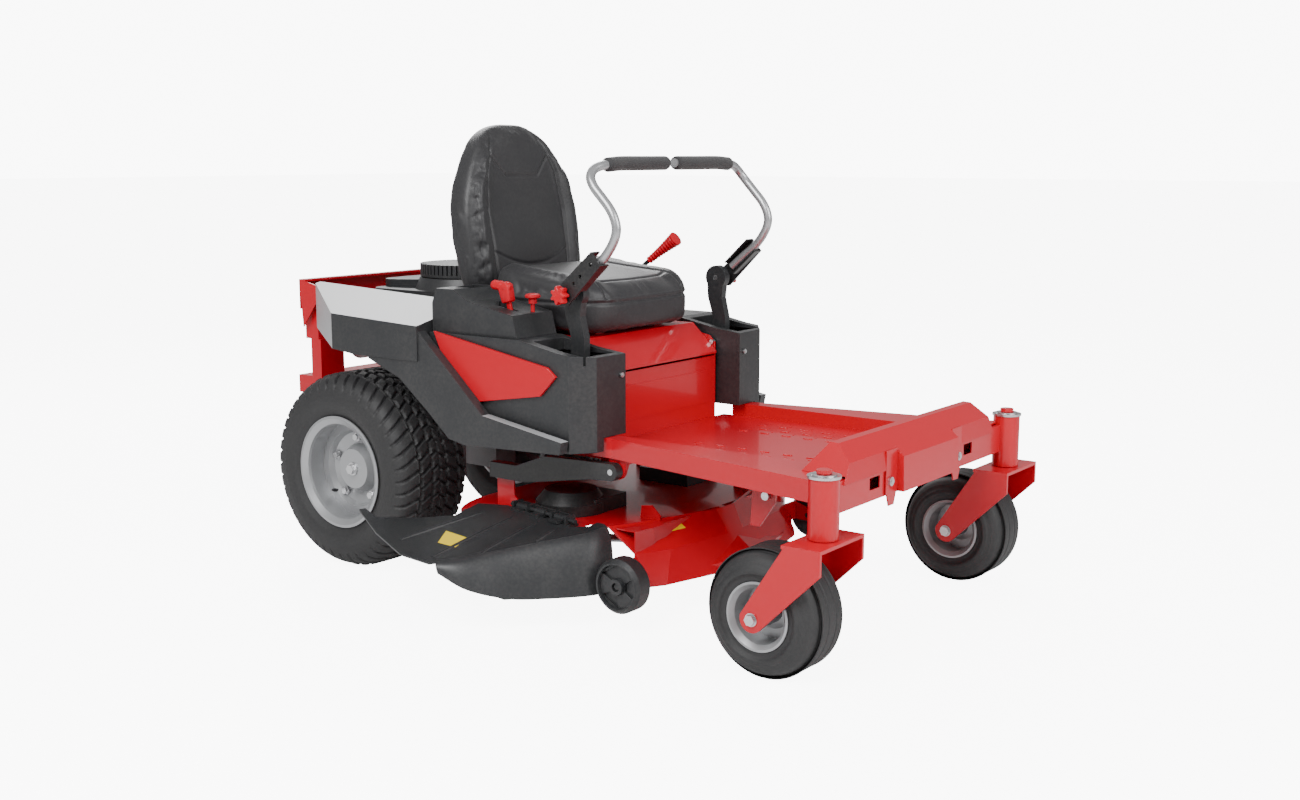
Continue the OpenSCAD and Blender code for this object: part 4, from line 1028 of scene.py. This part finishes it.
# %% Tyre valves and caps
for side, sign in (("right", -1), ("left", 1)):
    place = np.array([0, sign * 326, 254.0])
    a = place + np.array([-78, sign * 40, -72])
    b = a + np.array([6, sign * 34, 8])
    put("valve_" + side, [(along(a, b, [5, 5, 4, 4, 4.4, 4.4, 3]), 0)], [PLASTIC],
        "rear_wheel_" + side)

# %% [markdown]
# ## Floor, light and camera
# A pale floor that runs far back, a white surround, one large soft light over the left
# shoulder of the camera, a weaker one from the right and one from behind. The floor and the
# surround also have a glow that only the camera sees and that lights nothing.


# %% Studio
def area_light(name, place, look, size, power):
    light = bpy.data.lights.new(name, "AREA")
    light.shape, light.size, light.energy = "SQUARE", size, power
    obj = bpy.data.objects.new(name, light)
    obj.location = place
    obj.rotation_euler = (Vector(look) - Vector(place)).to_track_quat("-Z", "Y").to_euler()
    bpy.context.scene.collection.objects.link(obj)
    return obj


floor_mesh = bpy.data.meshes.new("floor")
floor_mesh.from_pydata([(-60, -60, 0), (60, -60, 0), (60, 60, 0), (-60, 60, 0)], [],
                       [(0, 1, 2, 3)])
FLOOR = material("floor_paint", (0.9, 0.9, 0.9), rough=0.6, grain=60, height=0.0001,
                 strength=0.02, dust=0.0)
FLOOR_GLOW, SKY_GLOW, SKY_LIGHT = 8.0, 9.0, 0.42
glow = FLOOR.node_tree
bsdf = next(n for n in glow.nodes if n.type == "BSDF_PRINCIPLED")
seen = node(glow, "ShaderNodeLightPath").outputs["Is Camera Ray"]
power = node(glow, "ShaderNodeMath", _operation="MULTIPLY", i0=seen, i1=FLOOR_GLOW)
bsdf.inputs["Emission Color"].default_value = (1, 1, 1, 1)
glow.links.new(power.outputs[0], bsdf.inputs["Emission Strength"])
floor_mesh.materials.append(FLOOR)
floor = bpy.data.objects.new("floor", floor_mesh)
floor.location.z = start_lo.z - 0.0005
bpy.context.scene.collection.objects.link(floor)

world = bpy.data.worlds.new("surround")
bpy.context.scene.world = world
world.use_nodes = True
world.node_tree.nodes["Background"].inputs["Color"].default_value = (1, 1, 1, 1)
sky = world.node_tree
seen = node(sky, "ShaderNodeLightPath").outputs["Is Camera Ray"]
power = node(sky, "ShaderNodeMath", _operation="MULTIPLY_ADD", i0=seen, i1=SKY_GLOW,
             i2=SKY_LIGHT)
sky.links.new(power.outputs[0], sky.nodes["Background"].inputs["Strength"])
area_light("key", (0.6, -3.6, 3.6), (0, 0, 0.4), 2.6, 260)
area_light("fill", (4.2, -0.2, 2.6), (0.1, 0, 0.4), 2.6, 150)
area_light("back", (-2.8, 2.4, 3.2), (0, 0, 0.6), 2.4, 140)

# %% Camera
camera_data = bpy.data.cameras.new("camera")
camera_data.sensor_width, camera_data.lens = 36.0, 41.06
camera = bpy.data.objects.new("camera", camera_data)
yaw, pitch = 0.6387, 0.1641
ahead = Vector((-math.sin(yaw) * math.cos(pitch), math.cos(yaw) * math.cos(pitch),
                -math.sin(pitch)))
camera.location = mm([2876.9, -2967.0, 1062.4])
camera.rotation_mode = "QUATERNION"
camera.rotation_quaternion = ahead.to_track_quat("-Z", "Y")
bpy.context.scene.collection.objects.link(camera)
bpy.context.scene.camera = camera
